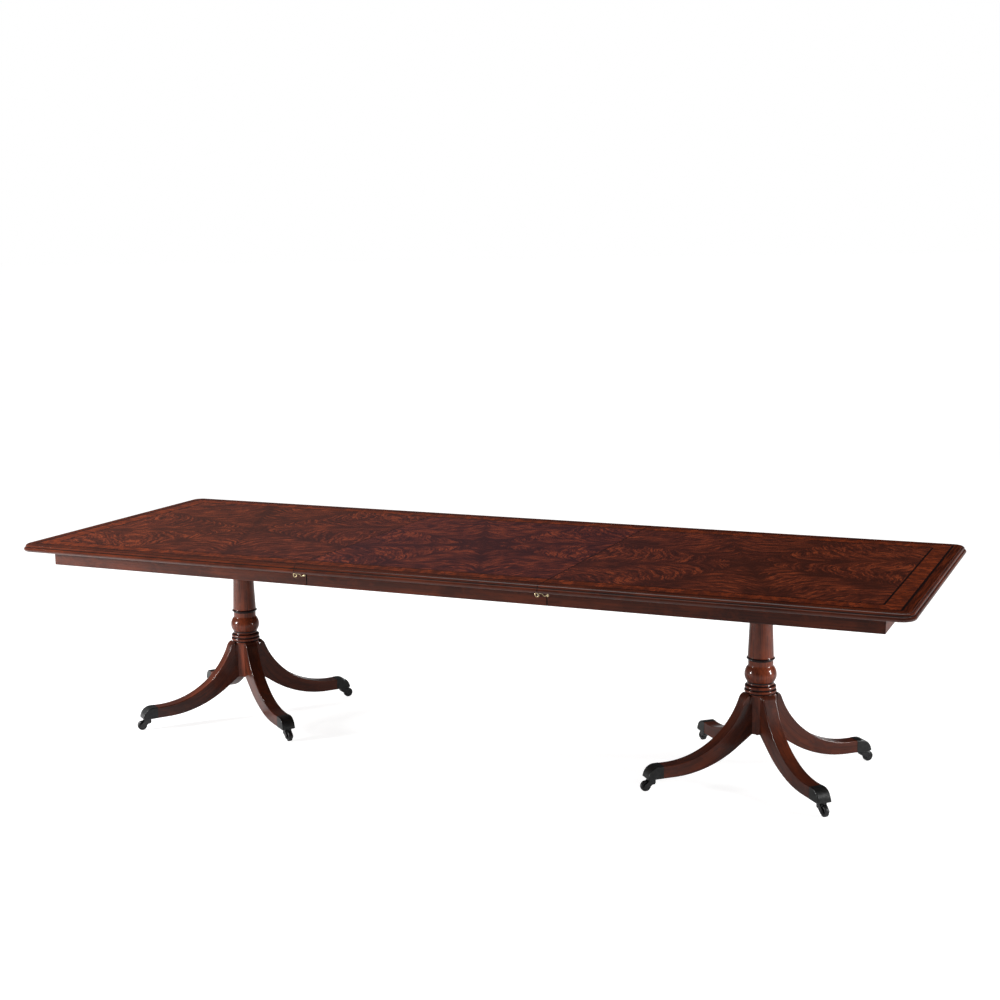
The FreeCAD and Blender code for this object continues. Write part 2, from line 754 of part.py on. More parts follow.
def make_column(side):
    """Turned column with a tenon at each end: rings, bulb, neck, collar and tapering shaft."""
    body = new_body(f"column_{side}_body")
    shape = Outline("0", BLOCK_FOOT)
    shape.line("foot_tenon_radius", BLOCK_FOOT).line("foot_tenon_radius", BLOCK_TOP)
    level = ring(shape, BLOCK_TOP, "lower_ring_radius", "lower_ring_bulge", "lower_ring_height")
    for radius in ("middle_ring_radius", "upper_ring_radius"):
        shape.line("ring_groove_radius", level)
        level = f"({level} + ring_gap)"
        shape.line("ring_groove_radius", level)
        level = ring(shape, level, radius, "ring_bulge", "ring_height")
    shape.line("ring_groove_radius", level)
    level = f"({level} + bulb_cove_height)"
    shape.arc("bulb_foot_radius", level, "bulb_cove_height", "left")
    shape.line("bulb_fillet_radius", level)
    level = f"({level} + bulb_fillet_height)"
    shape.line("bulb_fillet_radius", level)
    shape.line("bulb_radius - bulb_lower_swell", level)
    level = f"({level} + bulb_lower_height)"
    shape.arc("bulb_radius", level, swell("bulb_lower_swell", "bulb_lower_height"), "right")
    level = f"({level} + bulb_upper_height)"
    shoulder = swell("bulb_upper_swell", "bulb_upper_height")
    shape.arc("bulb_radius - bulb_upper_swell", level, shoulder, "right")
    level = f"({level} + neck_cove_height)"
    shape.arc("neck_radius", level, "neck_cove_height", "left")
    level = f"({level} + neck_height)"
    shape.line("neck_radius", level)
    level = f"({level} + collar_cove_height)"
    shape.arc("collar_radius - collar_height / 2", level, "collar_cove_height", "left")
    shape.arc("collar_radius", f"{level} + collar_height / 2", "collar_height / 2", "right")
    level = f"({level} + collar_height)"
    shape.arc("collar_radius - collar_height / 2", level, "collar_height / 2", "right")
    level = f"({level} + shaft_cove_height)"
    shape.arc("shaft_foot_radius", level, "shaft_cove_height", "left")
    shape.line("shaft_top_radius", BEARER_FOOT).line("top_tenon_radius", BEARER_FOOT)
    shape.line("top_tenon_radius", f"{UNDERSIDE} - top_tenon_shortfall")
    shape.line("0", f"{UNDERSIDE} - top_tenon_shortfall")
    turn_solid(body, draw(sketch_on(body, f"column_{side}_profile", "XZ_Plane"), shape))
    place(body, f"{SIDES[side]} * {PEDESTAL}", turn=f"{side}_turn")
    return keep(f"column_{side}", body)


def dovetail(slack):
    """Plan of a leg's dovetail, from just inside the leg to its wide end, grown all round by a slack."""
    neck = f"(dovetail_neck / 2 + {slack})"
    wide = f"(dovetail_width / 2 + {slack})"
    deep = f"({LEG_SEAT} - dovetail_depth - {slack})"
    root = f"({LEG_SEAT} + dovetail_depth / 2)"
    return [(root, f"-{neck}"), (root, neck), (LEG_SEAT, neck), (deep, wide), (deep, f"-{wide}"),
            (LEG_SEAT, f"-{neck}")]


def polygon(corners):
    shape = Outline(*corners[0])
    for corner in corners[1:]:
        shape.line(*corner)
    return shape


def make_leg_block(side):
    """Eight-sided block: narrow flats between the legs, and a dovetail slot for each leg."""
    body = new_body(f"leg_block_{side}_body")
    flat = "block_flat"
    edge = "(block_flat - leg_thickness / sqrt(2))"
    corners = [(flat, f"-{edge}"), (flat, edge), (edge, flat), (f"-{edge}", flat),
               (f"-{flat}", edge), (f"-{flat}", f"-{edge}"), (f"-{edge}", f"-{flat}"), (edge, f"-{flat}")]
    plan = draw(sketch_on(body, f"leg_block_{side}_plan", "XY_Plane", BLOCK_FOOT), polygon(corners))
    pad(body, plan, "block_height")
    socket = sketch_on(body, f"leg_block_{side}_socket", "XY_Plane", BLOCK_FOOT)
    cut(body, draw_circles(socket, [("0", "0")], "foot_tenon_radius + fit_gap"), "block_height + overrun")
    for name, angle in LEG_ANGLES.items():
        slot = [turned(x, y, angle) for x, y in dovetail("fit_gap")]
        sketch = draw(sketch_on(body, f"slot_{side}_{name}", "XY_Plane", BLOCK_FOOT), polygon(slot))
        cut(body, sketch, "block_height - dovetail_headroom + fit_gap")
    pilots = sketch_on(body, f"leg_block_{side}_pilots", "XY_Plane", BLOCK_FOOT)
    cut(body, draw_circles(pilots, plate_screws(), "screw_radius + fit_gap"), "screw_length")
    place(body, f"{SIDES[side]} * {PEDESTAL}", turn=f"{side}_turn")
    return keep(f"leg_block_{side}", body)


def make_leg_plate(side):
    """Iron disc under the leg block that ties the legs' dovetails in."""
    body = new_body(f"leg_plate_{side}_body")
    disc = sketch_on(body, f"leg_plate_{side}_disc", "XY_Plane")
    pad(body, draw_circles(disc, [("0", "0")], "plate_radius"), "plate_thickness")
    holes = sketch_on(body, f"leg_plate_{side}_holes", "XY_Plane")
    cut(body, draw_circles(holes, plate_screws(), "screw_radius + fit_gap"), "plate_thickness + overrun")
    place(body, f"{SIDES[side]} * {PEDESTAL}", z=f"{BLOCK_FOOT} - plate_thickness", turn=f"{side}_turn")
    return keep(f"leg_plate_{side}", body)


def leg_angle(side, name):
    angle = 180 - LEG_ANGLES[name] if side == "left" else LEG_ANGLES[name]
    return f"({side}_turn + ({angle}))"


def seat_leg(piece, side, name, reach="0", z="0"):
    """Places a piece out along one leg, turned with it."""
    angle = leg_angle(side, name)
    out = f"{SIDES[side]} * {PEDESTAL} + ({reach}) * cos({angle})"
    place(piece, out, f"({reach}) * sin({angle})", z, angle)


def make_leg(side, name):
    """Sabre leg: a dovetail at its root and a tongue inside its toe cap."""
    label = f"leg_{side}_{name}"
    body = new_body(f"{label}_body")
    heel = f"({LEG_SEAT} + heel_run)"
    sole = f"({CAP_BACK} - sole_run)"
    sweep = f"({sole} - {heel})"
    root = f"{SOLE} + heel_rise + heel_run * tan(2 * atan(heel_rise / {sweep}))"
    shape = Outline(LEG_SEAT, root)
    shape.line(heel, f"{SOLE} + heel_rise")
    shape.arc(sole, SOLE, swell("heel_rise", sweep), "right")
    shape.line(CAP_BACK, SOLE).line(CAP_BACK, ANKLE).line(ANKLE_REACH, ANKLE)
    shape.arc(KNEE_REACH, KNEE, swell("knee_rise", "calf_run"), "left")
    climb = f"({CROWN} - shoulder_drop - {KNEE})"
    knee_slope = "(2 * atan(knee_rise / calf_run))"
    shoulder_slope = f"(2 * atan({climb} / knee_run) - {knee_slope})"
    shape.arc(SHOULDER, f"{CROWN} - shoulder_drop", carry_on("knee_run", climb, knee_slope), "left")
    shape.arc(NOTCH, CROWN, carry_on("shoulder_run", "shoulder_drop", shoulder_slope), "right")
    shape.line(NOTCH, BLOCK_TOP).line(LEG_SEAT, BLOCK_TOP)
    pad(body, draw(sketch_on(body, f"{label}_profile", "XZ_Plane"), shape), "leg_thickness", both_ways=True)
    half = value("leg_thickness") / 2
    shortest = value(f"{NOTCH} - {LEG_SEAT}")
    fillet(body, "leg_arris", lambda edge: near(abs(edge.Vertexes[0].Y), half)
           and near(edge.Vertexes[0].Y, edge.Vertexes[-1].Y) and edge.BoundBox.XLength > shortest)
    low = f"{SOLE} + tongue_inset"
    high = f"{ANKLE} - tongue_inset"
    tip = f"{CAP_BACK} + tongue_length"
    tongue = [(ANKLE_REACH, low), (tip, low), (tip, high), (ANKLE_REACH, high)]
    pad(body, draw(sketch_on(body, f"{label}_tongue", "XZ_Plane"), polygon(tongue)),
        "leg_thickness - 2 * tongue_inset", both_ways=True)
    tail = draw(sketch_on(body, f"{label}_dovetail", "XY_Plane", BLOCK_FOOT), polygon(dovetail("0")))
    pad(body, tail, "block_height - dovetail_headroom")
    seat_leg(body, side, name)
    return keep(label, body)


def make_toe_cap(side, name):
    """Cast cap over a leg's tongue, bored for the castor's stem."""
    label = f"toe_cap_{side}_{name}"
    body = new_body(label)
    crown = f"({ANKLE} + cap_proud)"
    shape = Outline(CAP_BACK, SOLE)
    shape.line(f"{CAP_NOSE} - cap_nose_cut", SOLE).line(CAP_NOSE, f"{crown} - cap_nose_round")
    shape.arc(f"{CAP_NOSE} - cap_nose_round", crown, "cap_nose_round", "right")
    shape.line(CAP_BACK, crown)
    width = "leg_thickness + 2 * cap_proud"
    pad(body, draw(sketch_on(body, f"{label}_profile", "XZ_Plane"), shape), width, both_ways=True)
    half = value(width) / 2
    back = value(CAP_BACK)
    fillet(body, "cap_arris", lambda edge: near(abs(edge.Vertexes[0].Y), half)
           and near(edge.Vertexes[0].Y, edge.Vertexes[-1].Y) and not lies_at(edge, z=value(SOLE))
           and not lies_at(edge, x=back))
    slack = "fit_gap"
    low = f"{SOLE} + tongue_inset - {slack}"
    high = f"{ANKLE} - tongue_inset + {slack}"
    deep = f"{CAP_BACK} + tongue_length + {slack}"
    hollow = [(f"{CAP_BACK} - overrun", low), (deep, low), (deep, high), (f"{CAP_BACK} - overrun", high)]
    cut(body, draw(sketch_on(body, f"{label}_hollow", "XZ_Plane"), polygon(hollow)),
        f"leg_thickness - 2 * tongue_inset + 2 * {slack}", both_ways=True)
    bore = sketch_on(body, f"{label}_bore", "XY_Plane", SOLE)
    cut(body, draw_circles(bore, [(CASTOR_AXIS, "0")], "stem_radius + running_gap"), "stem_length")
    seat_leg(body, side, name)
    return body


FORK_TOP = f"({SOLE} - castor_gap)"
FORK_WIDTH = "(wheel_width + 2 * wheel_side_gap + 2 * cheek_thickness)"


def make_castor_fork(side, name):
    """Castor fork with its stem, and the axle that is riveted across its cheeks."""
    label = f"castor_fork_{side}_{name}"
    body = new_body(f"{label}_body")
    foot = f"({FORK_TOP} - boss_height)"
    near_x = "(castor_trail - cheek_radius * sqrt(0.5))"
    far_x = "(castor_trail + cheek_radius * sqrt(0.5))"
    low = "(wheel_radius - cheek_radius * sqrt(0.5))"
    high = "(wheel_radius + cheek_radius * sqrt(0.5))"
    shape = Outline("-boss_radius", FORK_TOP)
    shape.line("-boss_radius", f"{foot} + boss_heel").line("boss_heel - boss_radius", foot).line("0", foot)
    shape.line(near_x, low)
    shape.arc(far_x, low, "cheek_radius", "right")
    shape.arc(far_x, high, "cheek_radius", "right")
    shape.line("boss_radius", f"{FORK_TOP} - boss_heel").line("boss_radius", FORK_TOP)
    pad(body, draw(sketch_on(body, f"{label}_cheeks", "XZ_Plane"), shape), FORK_WIDTH, both_ways=True)
    fillet(body, "boss_heel", lambda edge: lies_at(edge, x=-value("boss_radius"))
           and near(edge.Vertexes[0].Y, edge.Vertexes[-1].Y))
    slot = sketch_on(body, f"{label}_slot", "XZ_Plane")
    cut(body, draw_circles(slot, [("castor_trail", "wheel_radius")], "wheel_radius + tyre_gap"),
        "wheel_width + 2 * wheel_side_gap", both_ways=True)
    hole = sketch_on(body, f"{label}_hole", "XZ_Plane")
    cut(body, draw_circles(hole, [("castor_trail", "wheel_radius")], "axle_radius"),
        f"{FORK_WIDTH} + overrun", both_ways=True)
    stem = sketch_on(body, f"{label}_stem", "XY_Plane", FORK_TOP)
    pad(body, draw_circles(stem, [("0", "0")], "stem_radius"), "stem_length")
    seat_leg(body, side, name, CASTOR_AXIS)
    axle = new_body(f"{label}_axle")
    half = f"({FORK_WIDTH} / 2)"
    full = f"({half} + axle_head_height)"
    turning = [("0", f"-{full}"), ("axle_head_radius", f"-{full}"), ("axle_head_radius", f"-{half}"),
               ("axle_radius", f"-{half}"), ("axle_radius", half), ("axle_head_radius", half),
               ("axle_head_radius", full), ("0", full)]
    turn_solid(axle, draw(sketch_on(axle, f"{label}_turning", "XY_Plane"), polygon(turning)))
    seat_leg(axle, side, name, f"{CASTOR_AXIS} + castor_trail", "wheel_radius")
    make_group(label, [body, axle])


def make_castor_wheel(side, name):
    """Wheel with a rounded tread, turned about its axle, which lies along the piece's own Y."""
    label = f"castor_wheel_{side}_{name}"
    body = new_body(f"{label}_body")
    half = "(wheel_width / 2)"
    web = f"({half} - wheel_recess)"
    rim = "(wheel_radius - wheel_round)"
    bore = "(axle_radius + running_gap)"
    shape = Outline(bore, f"-{half}")
    shape.line("wheel_hub_radius", f"-{half}").line("wheel_hub_radius + wheel_recess", f"-{web}")
    shape.line(f"{rim} - wheel_recess", f"-{web}").line(rim, f"-{half}")
    shape.arc("wheel_radius", f"wheel_round - {half}", "wheel_round", "right")
    shape.line("wheel_radius", f"{half} - wheel_round")
    shape.arc(rim, half, "wheel_round", "right")
    shape.line(f"{rim} - wheel_recess", web).line("wheel_hub_radius + wheel_recess", web)
    shape.line("wheel_hub_radius", half).line(bore, half)
    turn_solid(body, draw(sketch_on(body, f"{label}_profile", "XY_Plane"), shape))
    seat_leg(body, side, name, f"{CASTOR_AXIS} + castor_trail", "wheel_radius")
    return keep(label, body)


def bend(path, start, end, first, second):
    """Even double bend between two points, level at both."""
    middle = [f"(({a}) + ({b})) / 2" for a, b in zip(start, end)]
    run, rise = [f"abs(({b}) - ({a})) / 2" for a, b in zip(start, end)]
    path.arc(*middle, swell(rise, run), first)
    path.arc(*end, swell(rise, run), second)


def make_catch_hook(side, name, sign):
    """Brass hook drawn from the centre of its ring; sign is the way from the table's middle out to it."""
    label = f"catch_hook_{side}_{name}"
    body = new_body(f"{label}_body")
    ring_wire = sketch_on(body, f"{label}_ring", "XY_Plane")
    turn_solid(body, draw_circles(ring_wire, [("ring_radius", "0")], "ring_wire"))
    start = "(ring_radius * sqrt(0.5))"
    path = Outline(start, "hook_shelf_rise").line("hook_shelf_end", "hook_shelf_rise")
    bend(path, ("hook_shelf_end", "hook_shelf_rise"), ("hook_dip_run", "-hook_dip_drop"), "left", "right")
    bend(path, ("hook_dip_run", "-hook_dip_drop"), ("hook_span", "hook_tail_rise"), "right", "left")
    way = draw(sketch_on(body, f"{label}_way", "XZ_Plane"), path, closed=False)
    wire = sketch_on(body, f"{label}_wire", "YZ_Plane", start)
    arm = body.newObject("PartDesign::AdditivePipe", f"{label}_arm")
    arm.Profile = draw_circles(wire, [("0", "hook_shelf_rise")], "hook_wire")
    arm.Spine = (way, [f"Edge{number}" for number in range(1, len(way.Geometry) + 1)])
    tail_foot = "(hook_tail_rise - tail_height / 2)"
    tail = sketch_on(body, f"{label}_tail", "XY_Plane", tail_foot)
    draw_circles(tail, [("hook_span", "0")], "tail_radius")
    if side == "left":
        pad(body, tail, "tail_height")
        stem = sketch_on(body, f"{label}_stem", "XY_Plane", "ring_radius")
        pad(body, draw_circles(stem, [("0", "0")], "catch_stem_radius"),
            "ring_hang - ring_radius + catch_stem_length")
        finger_place = ("hook_span", "hook_tail_rise")
    else:
        pad(body, tail, f"ring_hang - slide_gap - {tail_foot}")
        bore = sketch_on(body, f"{label}_bore", "XY_Plane", tail_foot)
        cut(body, draw_circles(bore, [("hook_span", "0")], "catch_screw_radius + running_gap"),
            f"ring_hang - {tail_foot}")
        finger_place = ("-ring_radius", "0")
    finger = sketch_on(body, f"{label}_finger", "XZ_Plane")
    pad(body, draw_circles(finger, [finger_place], "finger_radius"), "finger_length", reverse=sign < 0)
    place(body, f"{SIDES[side]} * {SEAM} - ring_offset", f"{sign} * {CATCH_ROW}", CATCH_HEIGHT)
    return keep(label, body)


def make_catch_keepers():
    """Pins under the leaf that the hooks' fingers pass behind."""
    body = new_body("catch_keepers_body")
    body.AllowCompound = True
    foot = f"{UNDERSIDE} - keeper_drop"
    shanks = sketch_on(body, "keeper_shanks", "XY_Plane", foot)
    pad(body, draw_circles(shanks, keeper_places(), "keeper_radius"), "keeper_drop + catch_stem_length")
    heads = sketch_on(body, "keeper_heads", "XY_Plane", foot)
    pad(body, draw_circles(heads, keeper_places(), "keeper_head_radius"), "keeper_head_height")
    return keep("catch_keepers_leaf", body)


def make_catch_screws():
    """Screws under the right end that its two hooks turn on."""
    body = new_body("catch_screws_body")
    body.AllowCompound = True
    hang = "ring_hang - hook_tail_rise + tail_height / 2 + slide_gap + catch_head_height"
    foot = f"{UNDERSIDE} - ({hang})"
    pivots = catch_pivots("right")
    shanks = sketch_on(body, "catch_screw_shanks", "XY_Plane", foot)
    pad(body, draw_circles(shanks, pivots, "catch_screw_radius"), f"{hang} + catch_stem_length")
    heads = sketch_on(body, "catch_screw_heads", "XY_Plane", foot)
    pad(body, draw_circles(heads, pivots, "catch_head_radius"), "catch_head_height")
    seat_end(body, "right")
    return keep("catch_screws_right", body)


def make_pedestal(side):
    make_bearer(side)
    make_column(side)
    make_leg_block(side)
    make_leg_plate(side)
    caps = []
    for name in LEG_ANGLES:
        make_leg(side, name)
        caps.append(make_toe_cap(side, name))
        make_castor_fork(side, name)
        make_castor_wheel(side, name)
    make_group(f"toe_caps_{side}", caps)


def check_and_export():
    """Refuses a failed object or a bad shape, then writes one file for each node."""
    doc.recompute()
    for thing in doc.Objects:
        if "Invalid" in thing.State or "Error" in thing.State:
            raise RuntimeError(f"{thing.Name} failed: {thing.State}")
    os.makedirs("parts", exist_ok=True)
    for label, piece in nodes.items():
        if piece.Shape.isNull() or not piece.Shape.isValid() or not piece.Shape.Solids:
            raise RuntimeError(f"{label} has no sound shape")
        piece.Shape.exportStep(f"parts/{label}.step")
        print(f"{label}: {len(piece.Shape.Solids)} solid(s), {piece.Shape.Volume:.0f} cubic millimetres")


for end in SIDES:
    make_end_top(end)
    make_end_aprons(end)
    make_end_runners(end)
    make_screws(end)
    make_pedestal(end)
make_leaf_top()
make_leaf_aprons()
make_middle_runners()
make_glue_blocks()
for end in SIDES:
    make_catch_hook(end, "front", -1)
    make_catch_hook(end, "back", 1)
make_catch_keepers()
make_catch_screws()
check_and_export()
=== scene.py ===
import json
import math

import bmesh
import bpy
import numpy as np
from mathutils import Matrix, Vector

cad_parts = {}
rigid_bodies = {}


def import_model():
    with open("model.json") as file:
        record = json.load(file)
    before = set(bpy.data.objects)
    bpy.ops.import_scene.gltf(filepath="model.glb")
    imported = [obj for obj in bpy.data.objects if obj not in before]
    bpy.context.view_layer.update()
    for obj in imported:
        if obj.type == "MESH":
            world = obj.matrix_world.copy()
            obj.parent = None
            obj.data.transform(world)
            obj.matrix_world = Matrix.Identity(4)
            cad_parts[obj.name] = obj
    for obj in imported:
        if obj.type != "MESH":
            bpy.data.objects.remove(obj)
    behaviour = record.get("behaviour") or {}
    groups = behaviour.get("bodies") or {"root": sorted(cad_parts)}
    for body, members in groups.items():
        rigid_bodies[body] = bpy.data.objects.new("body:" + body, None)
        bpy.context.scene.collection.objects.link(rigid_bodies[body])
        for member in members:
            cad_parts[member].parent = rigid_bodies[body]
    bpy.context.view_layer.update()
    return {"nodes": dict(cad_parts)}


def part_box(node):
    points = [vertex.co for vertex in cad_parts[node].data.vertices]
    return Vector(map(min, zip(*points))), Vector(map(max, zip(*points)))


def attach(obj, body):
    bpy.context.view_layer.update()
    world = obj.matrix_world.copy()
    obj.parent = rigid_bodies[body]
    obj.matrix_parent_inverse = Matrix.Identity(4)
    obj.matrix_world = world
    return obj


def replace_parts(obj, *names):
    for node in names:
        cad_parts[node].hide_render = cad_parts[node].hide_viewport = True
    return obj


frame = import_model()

bl_info = {
    "name": "Extending dining table",
    "version": (1, 0, 0),
    "blender": (4, 5, 0),
    "location": "View3D > Sidebar > Table",
    "description": "Dresses an extending twin-pedestal dining table and sets its studio",
    "category": "Add Mesh",
}

SIDES = {"left": -1, "right": 1}
ROWS = ("front", "back")
TOPS = ("end_top_left", "end_top_right", "leaf_top")
LEG_ANGLES = {"front_outer": -45, "back_outer": 45, "back_inner": 135, "front_inner": -135}


def node_box(node):
    """Lowest and highest corner of a CAD node at rest, to a hundredth of a millimetre."""
    return np.round([tuple(corner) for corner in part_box(node)], 5)


# Places of the CAD's own pieces, in metres, that sizes are worked out from
(TOP_START, TOP_FRONT, TOP_UNDER), (TOP_END, TOP_BACK, TOP_FACE) = node_box("top_right")
LEAF_END = node_box("top_leaf")[1][0]
PEDESTAL_AXIS = node_box("leg_block_right")[:, 0].mean()
BLOCK_TOP = node_box("leg_block_right")[1][2]
TENON_TOP = node_box("column_right")[1][2]
SOLE, CAP_CROWN = node_box("toe_caps_right")[:, 2]
WHEEL_TOP = node_box("castor_wheel_right_front_outer")[1][2]


# Sizes and colours that a user would change

def length(name, text, default):
    return bpy.props.FloatProperty(name=name, description=text, default=default, unit="LENGTH", precision=4)


def turn(name, text, degrees):
    return bpy.props.FloatProperty(
        name=name, description=text, default=math.radians(degrees), subtype="ANGLE")


def amount(name, text, default, low=0.0, high=1.0):
    return bpy.props.FloatProperty(name=name, description=text, default=default, min=low, max=high)


def colour(name, text, default):
    return bpy.props.FloatVectorProperty(
        name=name, description=text, default=default, subtype="COLOR", size=3, min=0, max=1)


class TopSizes(bpy.types.PropertyGroup):
    """Tops, their moulded edge and the bands laid into them."""

    length: length("Length", "Whole length of the table", 2 * TOP_END)
    width: length("Width", "Whole width of the table", TOP_BACK - TOP_FRONT)
    height: length("Height", "Height of the top above the floor", TOP_FACE)
    leaf: length("Leaf", "Length of the loose leaf", 2 * TOP_START)
    seam: length("Seam", "Half of the gap between two tops", TOP_START - LEAF_END)
    thickness: length("Thickness", "Thickness of the tops at the edge", TOP_FACE - TOP_UNDER)
    corner: length("Corner radius", "Radius of the outer corners", 0.05)
    lip: length("Lip", "Distance from the outer edge to the lip of the flat", 0.0132)
    outer_string: length("Outer string", "Distance from the lip to the middle of the outer string", 0.034)
    outer_string_width: length("Outer string width", "Width of the outer string", 0.0085)
    inner_string: length("Inner string", "Distance from the lip to the middle of the inner string", 0.097)
    inner_string_width: length("Inner string width", "Width of the inner string", 0.007)


class PedestalSizes(bpy.types.PropertyGroup):
    """Pedestals, legs and castors."""

    reach: length("Reach", "Distance from the table's middle to a pedestal's axis", PEDESTAL_AXIS)
    left_turn: turn("Left turn", "Turn of the left pedestal about its axis", 8)
    right_turn: turn("Right turn", "Turn of the right pedestal about its axis", -2)
    leg: length("Leg thickness", "Thickness of a leg", 0.049)
    arris: length("Arris", "Rounding of a leg's edges", 0.003)
    wheel: length("Wheel radius", "Radius of a castor wheel", WHEEL_TOP / 2)


class Finish(bpy.types.PropertyGroup):
    """Colours of the wood and metal."""

    dark: colour("Dark figure", "Darkest streaks of the mahogany", (0.022, 0.0072, 0.0055))
    middle: colour("Ground", "Ground colour of the mahogany", (0.064, 0.0142, 0.0080))
    light: colour("Light figure", "Brightest flames of the mahogany", (0.188, 0.0375, 0.0135))
    band: colour("Crossband", "Lightest tone of the crossband", (0.172, 0.031, 0.0100))
    string: colour("String", "Dark strings beside the crossband", (0.009, 0.004, 0.004))
    end_tint: colour("End tint", "Stain over the figure at the table's ends", (0.074, 0.0170, 0.0092))
    seam_tint: colour("Seam tint", "Stain over the end tops beside the leaf", (0.070, 0.0195, 0.022))
    leaf_tint: colour("Leaf tint", "Stain over the leaf", (0.067, 0.0200, 0.032))
    rail: colour("Rail", "Ground colour of the aprons and turnings", (0.064, 0.0158, 0.0085))
    plain: colour("Hidden wood", "Planed wood of the hidden frame", (0.30, 0.17, 0.09))
    brass: colour("Brass", "Catches", (0.52, 0.41, 0.24))
    cap: colour("Toe cap", "Graphite of the toe caps", (0.020, 0.0205, 0.020))
    black: colour("Castor black", "Black of the castors", (0.010, 0.010, 0.011))
    steel: colour("Steel", "Screws and keeper pins", (0.42, 0.41, 0.39))
    polish: amount("Polish roughness", "Roughness of the polish on the top", 0.10)


class Studio(bpy.types.PropertyGroup):
    """Lights and camera."""

    key: amount("Key light", "Power of the large light above", 105.0, 0, 5000)
    left: amount("Left light", "Power of the high light on the left", 165.0, 0, 5000)
    low: amount("Low light", "Power of the low light at the front left", 120.0, 0, 5000)
    right: amount("Right light", "Power of the tall light on the right", 105.0, 0, 5000)
    room: amount("Room", "Brightness of the room's fill light", 0.30, 0, 5)
    sweep: amount("Sweep", "Brightness of the low backdrop in reflections", 0.34, 0, 5)
    haze: amount("Haze", "Brightness of the room's left side in reflections", 0.065, 0, 5)
    glow: amount("Floor glow", "Brightness of the white floor to the camera", 0.87, 0, 5)
    bounce: amount("Floor bounce", "Light that the floor gives besides what it returns", 0.10, 0, 5)
    lens: amount("Lens", "Focal length in millimetres", 56.82, 10, 300)


def sizes(name):
    return getattr(bpy.context.scene, name)


# Surfaces: each is a grid of points worked out as whole arrays

def arc(x0, z0, x1, z1, radius, side, count):
    """Points on the arc of a radius from one point to another, without the first.

    With side 1 the arc bulges to the left of the way it goes, and with side -1 to the right.
    """
    start, end = np.array([x0, z0]), np.array([x1, z1])
    chord = end - start
    half = np.linalg.norm(chord) / 2
    across = np.array([-chord[1], chord[0]]) / (2 * half) * side
    drop = math.sqrt(max(radius ** 2 - half ** 2, 0))
    centre = (start + end) / 2 - across * drop
    a0 = math.atan2(*(start - centre)[::-1])
    a1 = math.atan2(*(end - centre)[::-1])
    sweep = (a1 - a0 + math.pi) % (2 * math.pi) - math.pi
    angle = a0 + sweep * np.linspace(0, 1, count + 1)[1:]
    return np.stack([centre[0] + radius * np.cos(angle), centre[1] + radius * np.sin(angle)], 1)


def trace(start, *steps):
    """Polyline in millimetres turned to metres.

    A step is a point, reached by a straight line, or a point with the radius, side and count of an arc.
    """
    points = [np.array([start], float)]
    for step in steps:
        last = points[-1][-1]
        points.append(np.array([step[:2]], float) if len(step) == 2 else arc(*last, *step))
    return np.concatenate(points) / 1000


def swell(across, along):
    """Radius of an arc that is upright at one end and goes across by a depth over a height."""
    return (across ** 2 + along ** 2) / (2 * across)


def millimetres(length):
    """A length in millimetres, to a hundredth."""
    return round(1000 * length, 2)


def travelled(points):
    """Distance along a polyline to each of its points."""
    return np.concatenate([[0], np.cumsum(np.linalg.norm(np.diff(points, axis=0), axis=1))])


def spread(x):
    """Stations moved apart by a hair, so that a slope can be worked out where an outline is upright."""
    hair = 1e-7
    return x + np.arange(len(x)) * hair


def turned(points, angle, centre=(0, 0, 0)):
    """Points turned about the vertical through the origin, then moved."""
    c, s = math.cos(angle), math.sin(angle)
    return points @ np.array([[c, s, 0], [-s, c, 0], [0, 0, 1]]) + np.array(centre)


def build(name, points, faces, materials, slots=None, grain=None, sharp=32):
    """Mesh object at the origin from points, faces and a material slot for each face.

    grain holds for each point its place in the board it is cut from: along the grain, across it, and depth.
    Edges that turn by more than the sharp angle, in degrees, are not shaded round.
    """
    mesh = bpy.data.meshes.new(name)
    mesh.from_pydata(np.asarray(points, float).reshape(-1, 3).tolist(), [], faces)
    if grain is not None:
        layer = mesh.attributes.new("grain", "FLOAT_VECTOR", "POINT")
        layer.data.foreach_set("vector", np.asarray(grain, np.float32).reshape(-1))
    if slots is not None:
        mesh.polygons.foreach_set("material_index", np.asarray(slots, np.int32))
    mesh.validate()
    mesh.shade_smooth()
    mesh.set_sharp_from_angle(angle=math.radians(sharp))
    for material in materials:
        mesh.materials.append(material)
    piece = bpy.data.objects.new(name, mesh)
    bpy.context.scene.collection.objects.link(piece)
    return piece


def quads(rows, columns, wrap_rows=False, wrap_columns=False):
    """Faces of a grid of points, row by row, that may close on itself either way."""
    i = np.arange(rows if wrap_rows else rows - 1)
    j = np.arange(columns if wrap_columns else columns - 1)
    i, j = [a.reshape(-1) for a in np.meshgrid(i, j, indexing="ij")]
    down, right = (i + 1) % rows, (j + 1) % columns
    i, down = i * columns, down * columns
    return np.stack([i + j, i + right, down + right, down + j], 1).tolist()


def lathe(profile, count):
    """Turning: each profile point, a radius and a height, goes round the Z axis.

    Rows are angles and columns are points of the profile.
    """
    angle = np.linspace(0, 2 * math.pi, count, endpoint=False)[:, None]
    radius, height = profile[:, 0], profile[:, 1]
    return np.stack([radius * np.cos(angle), radius * np.sin(angle), height + 0 * angle], 2)


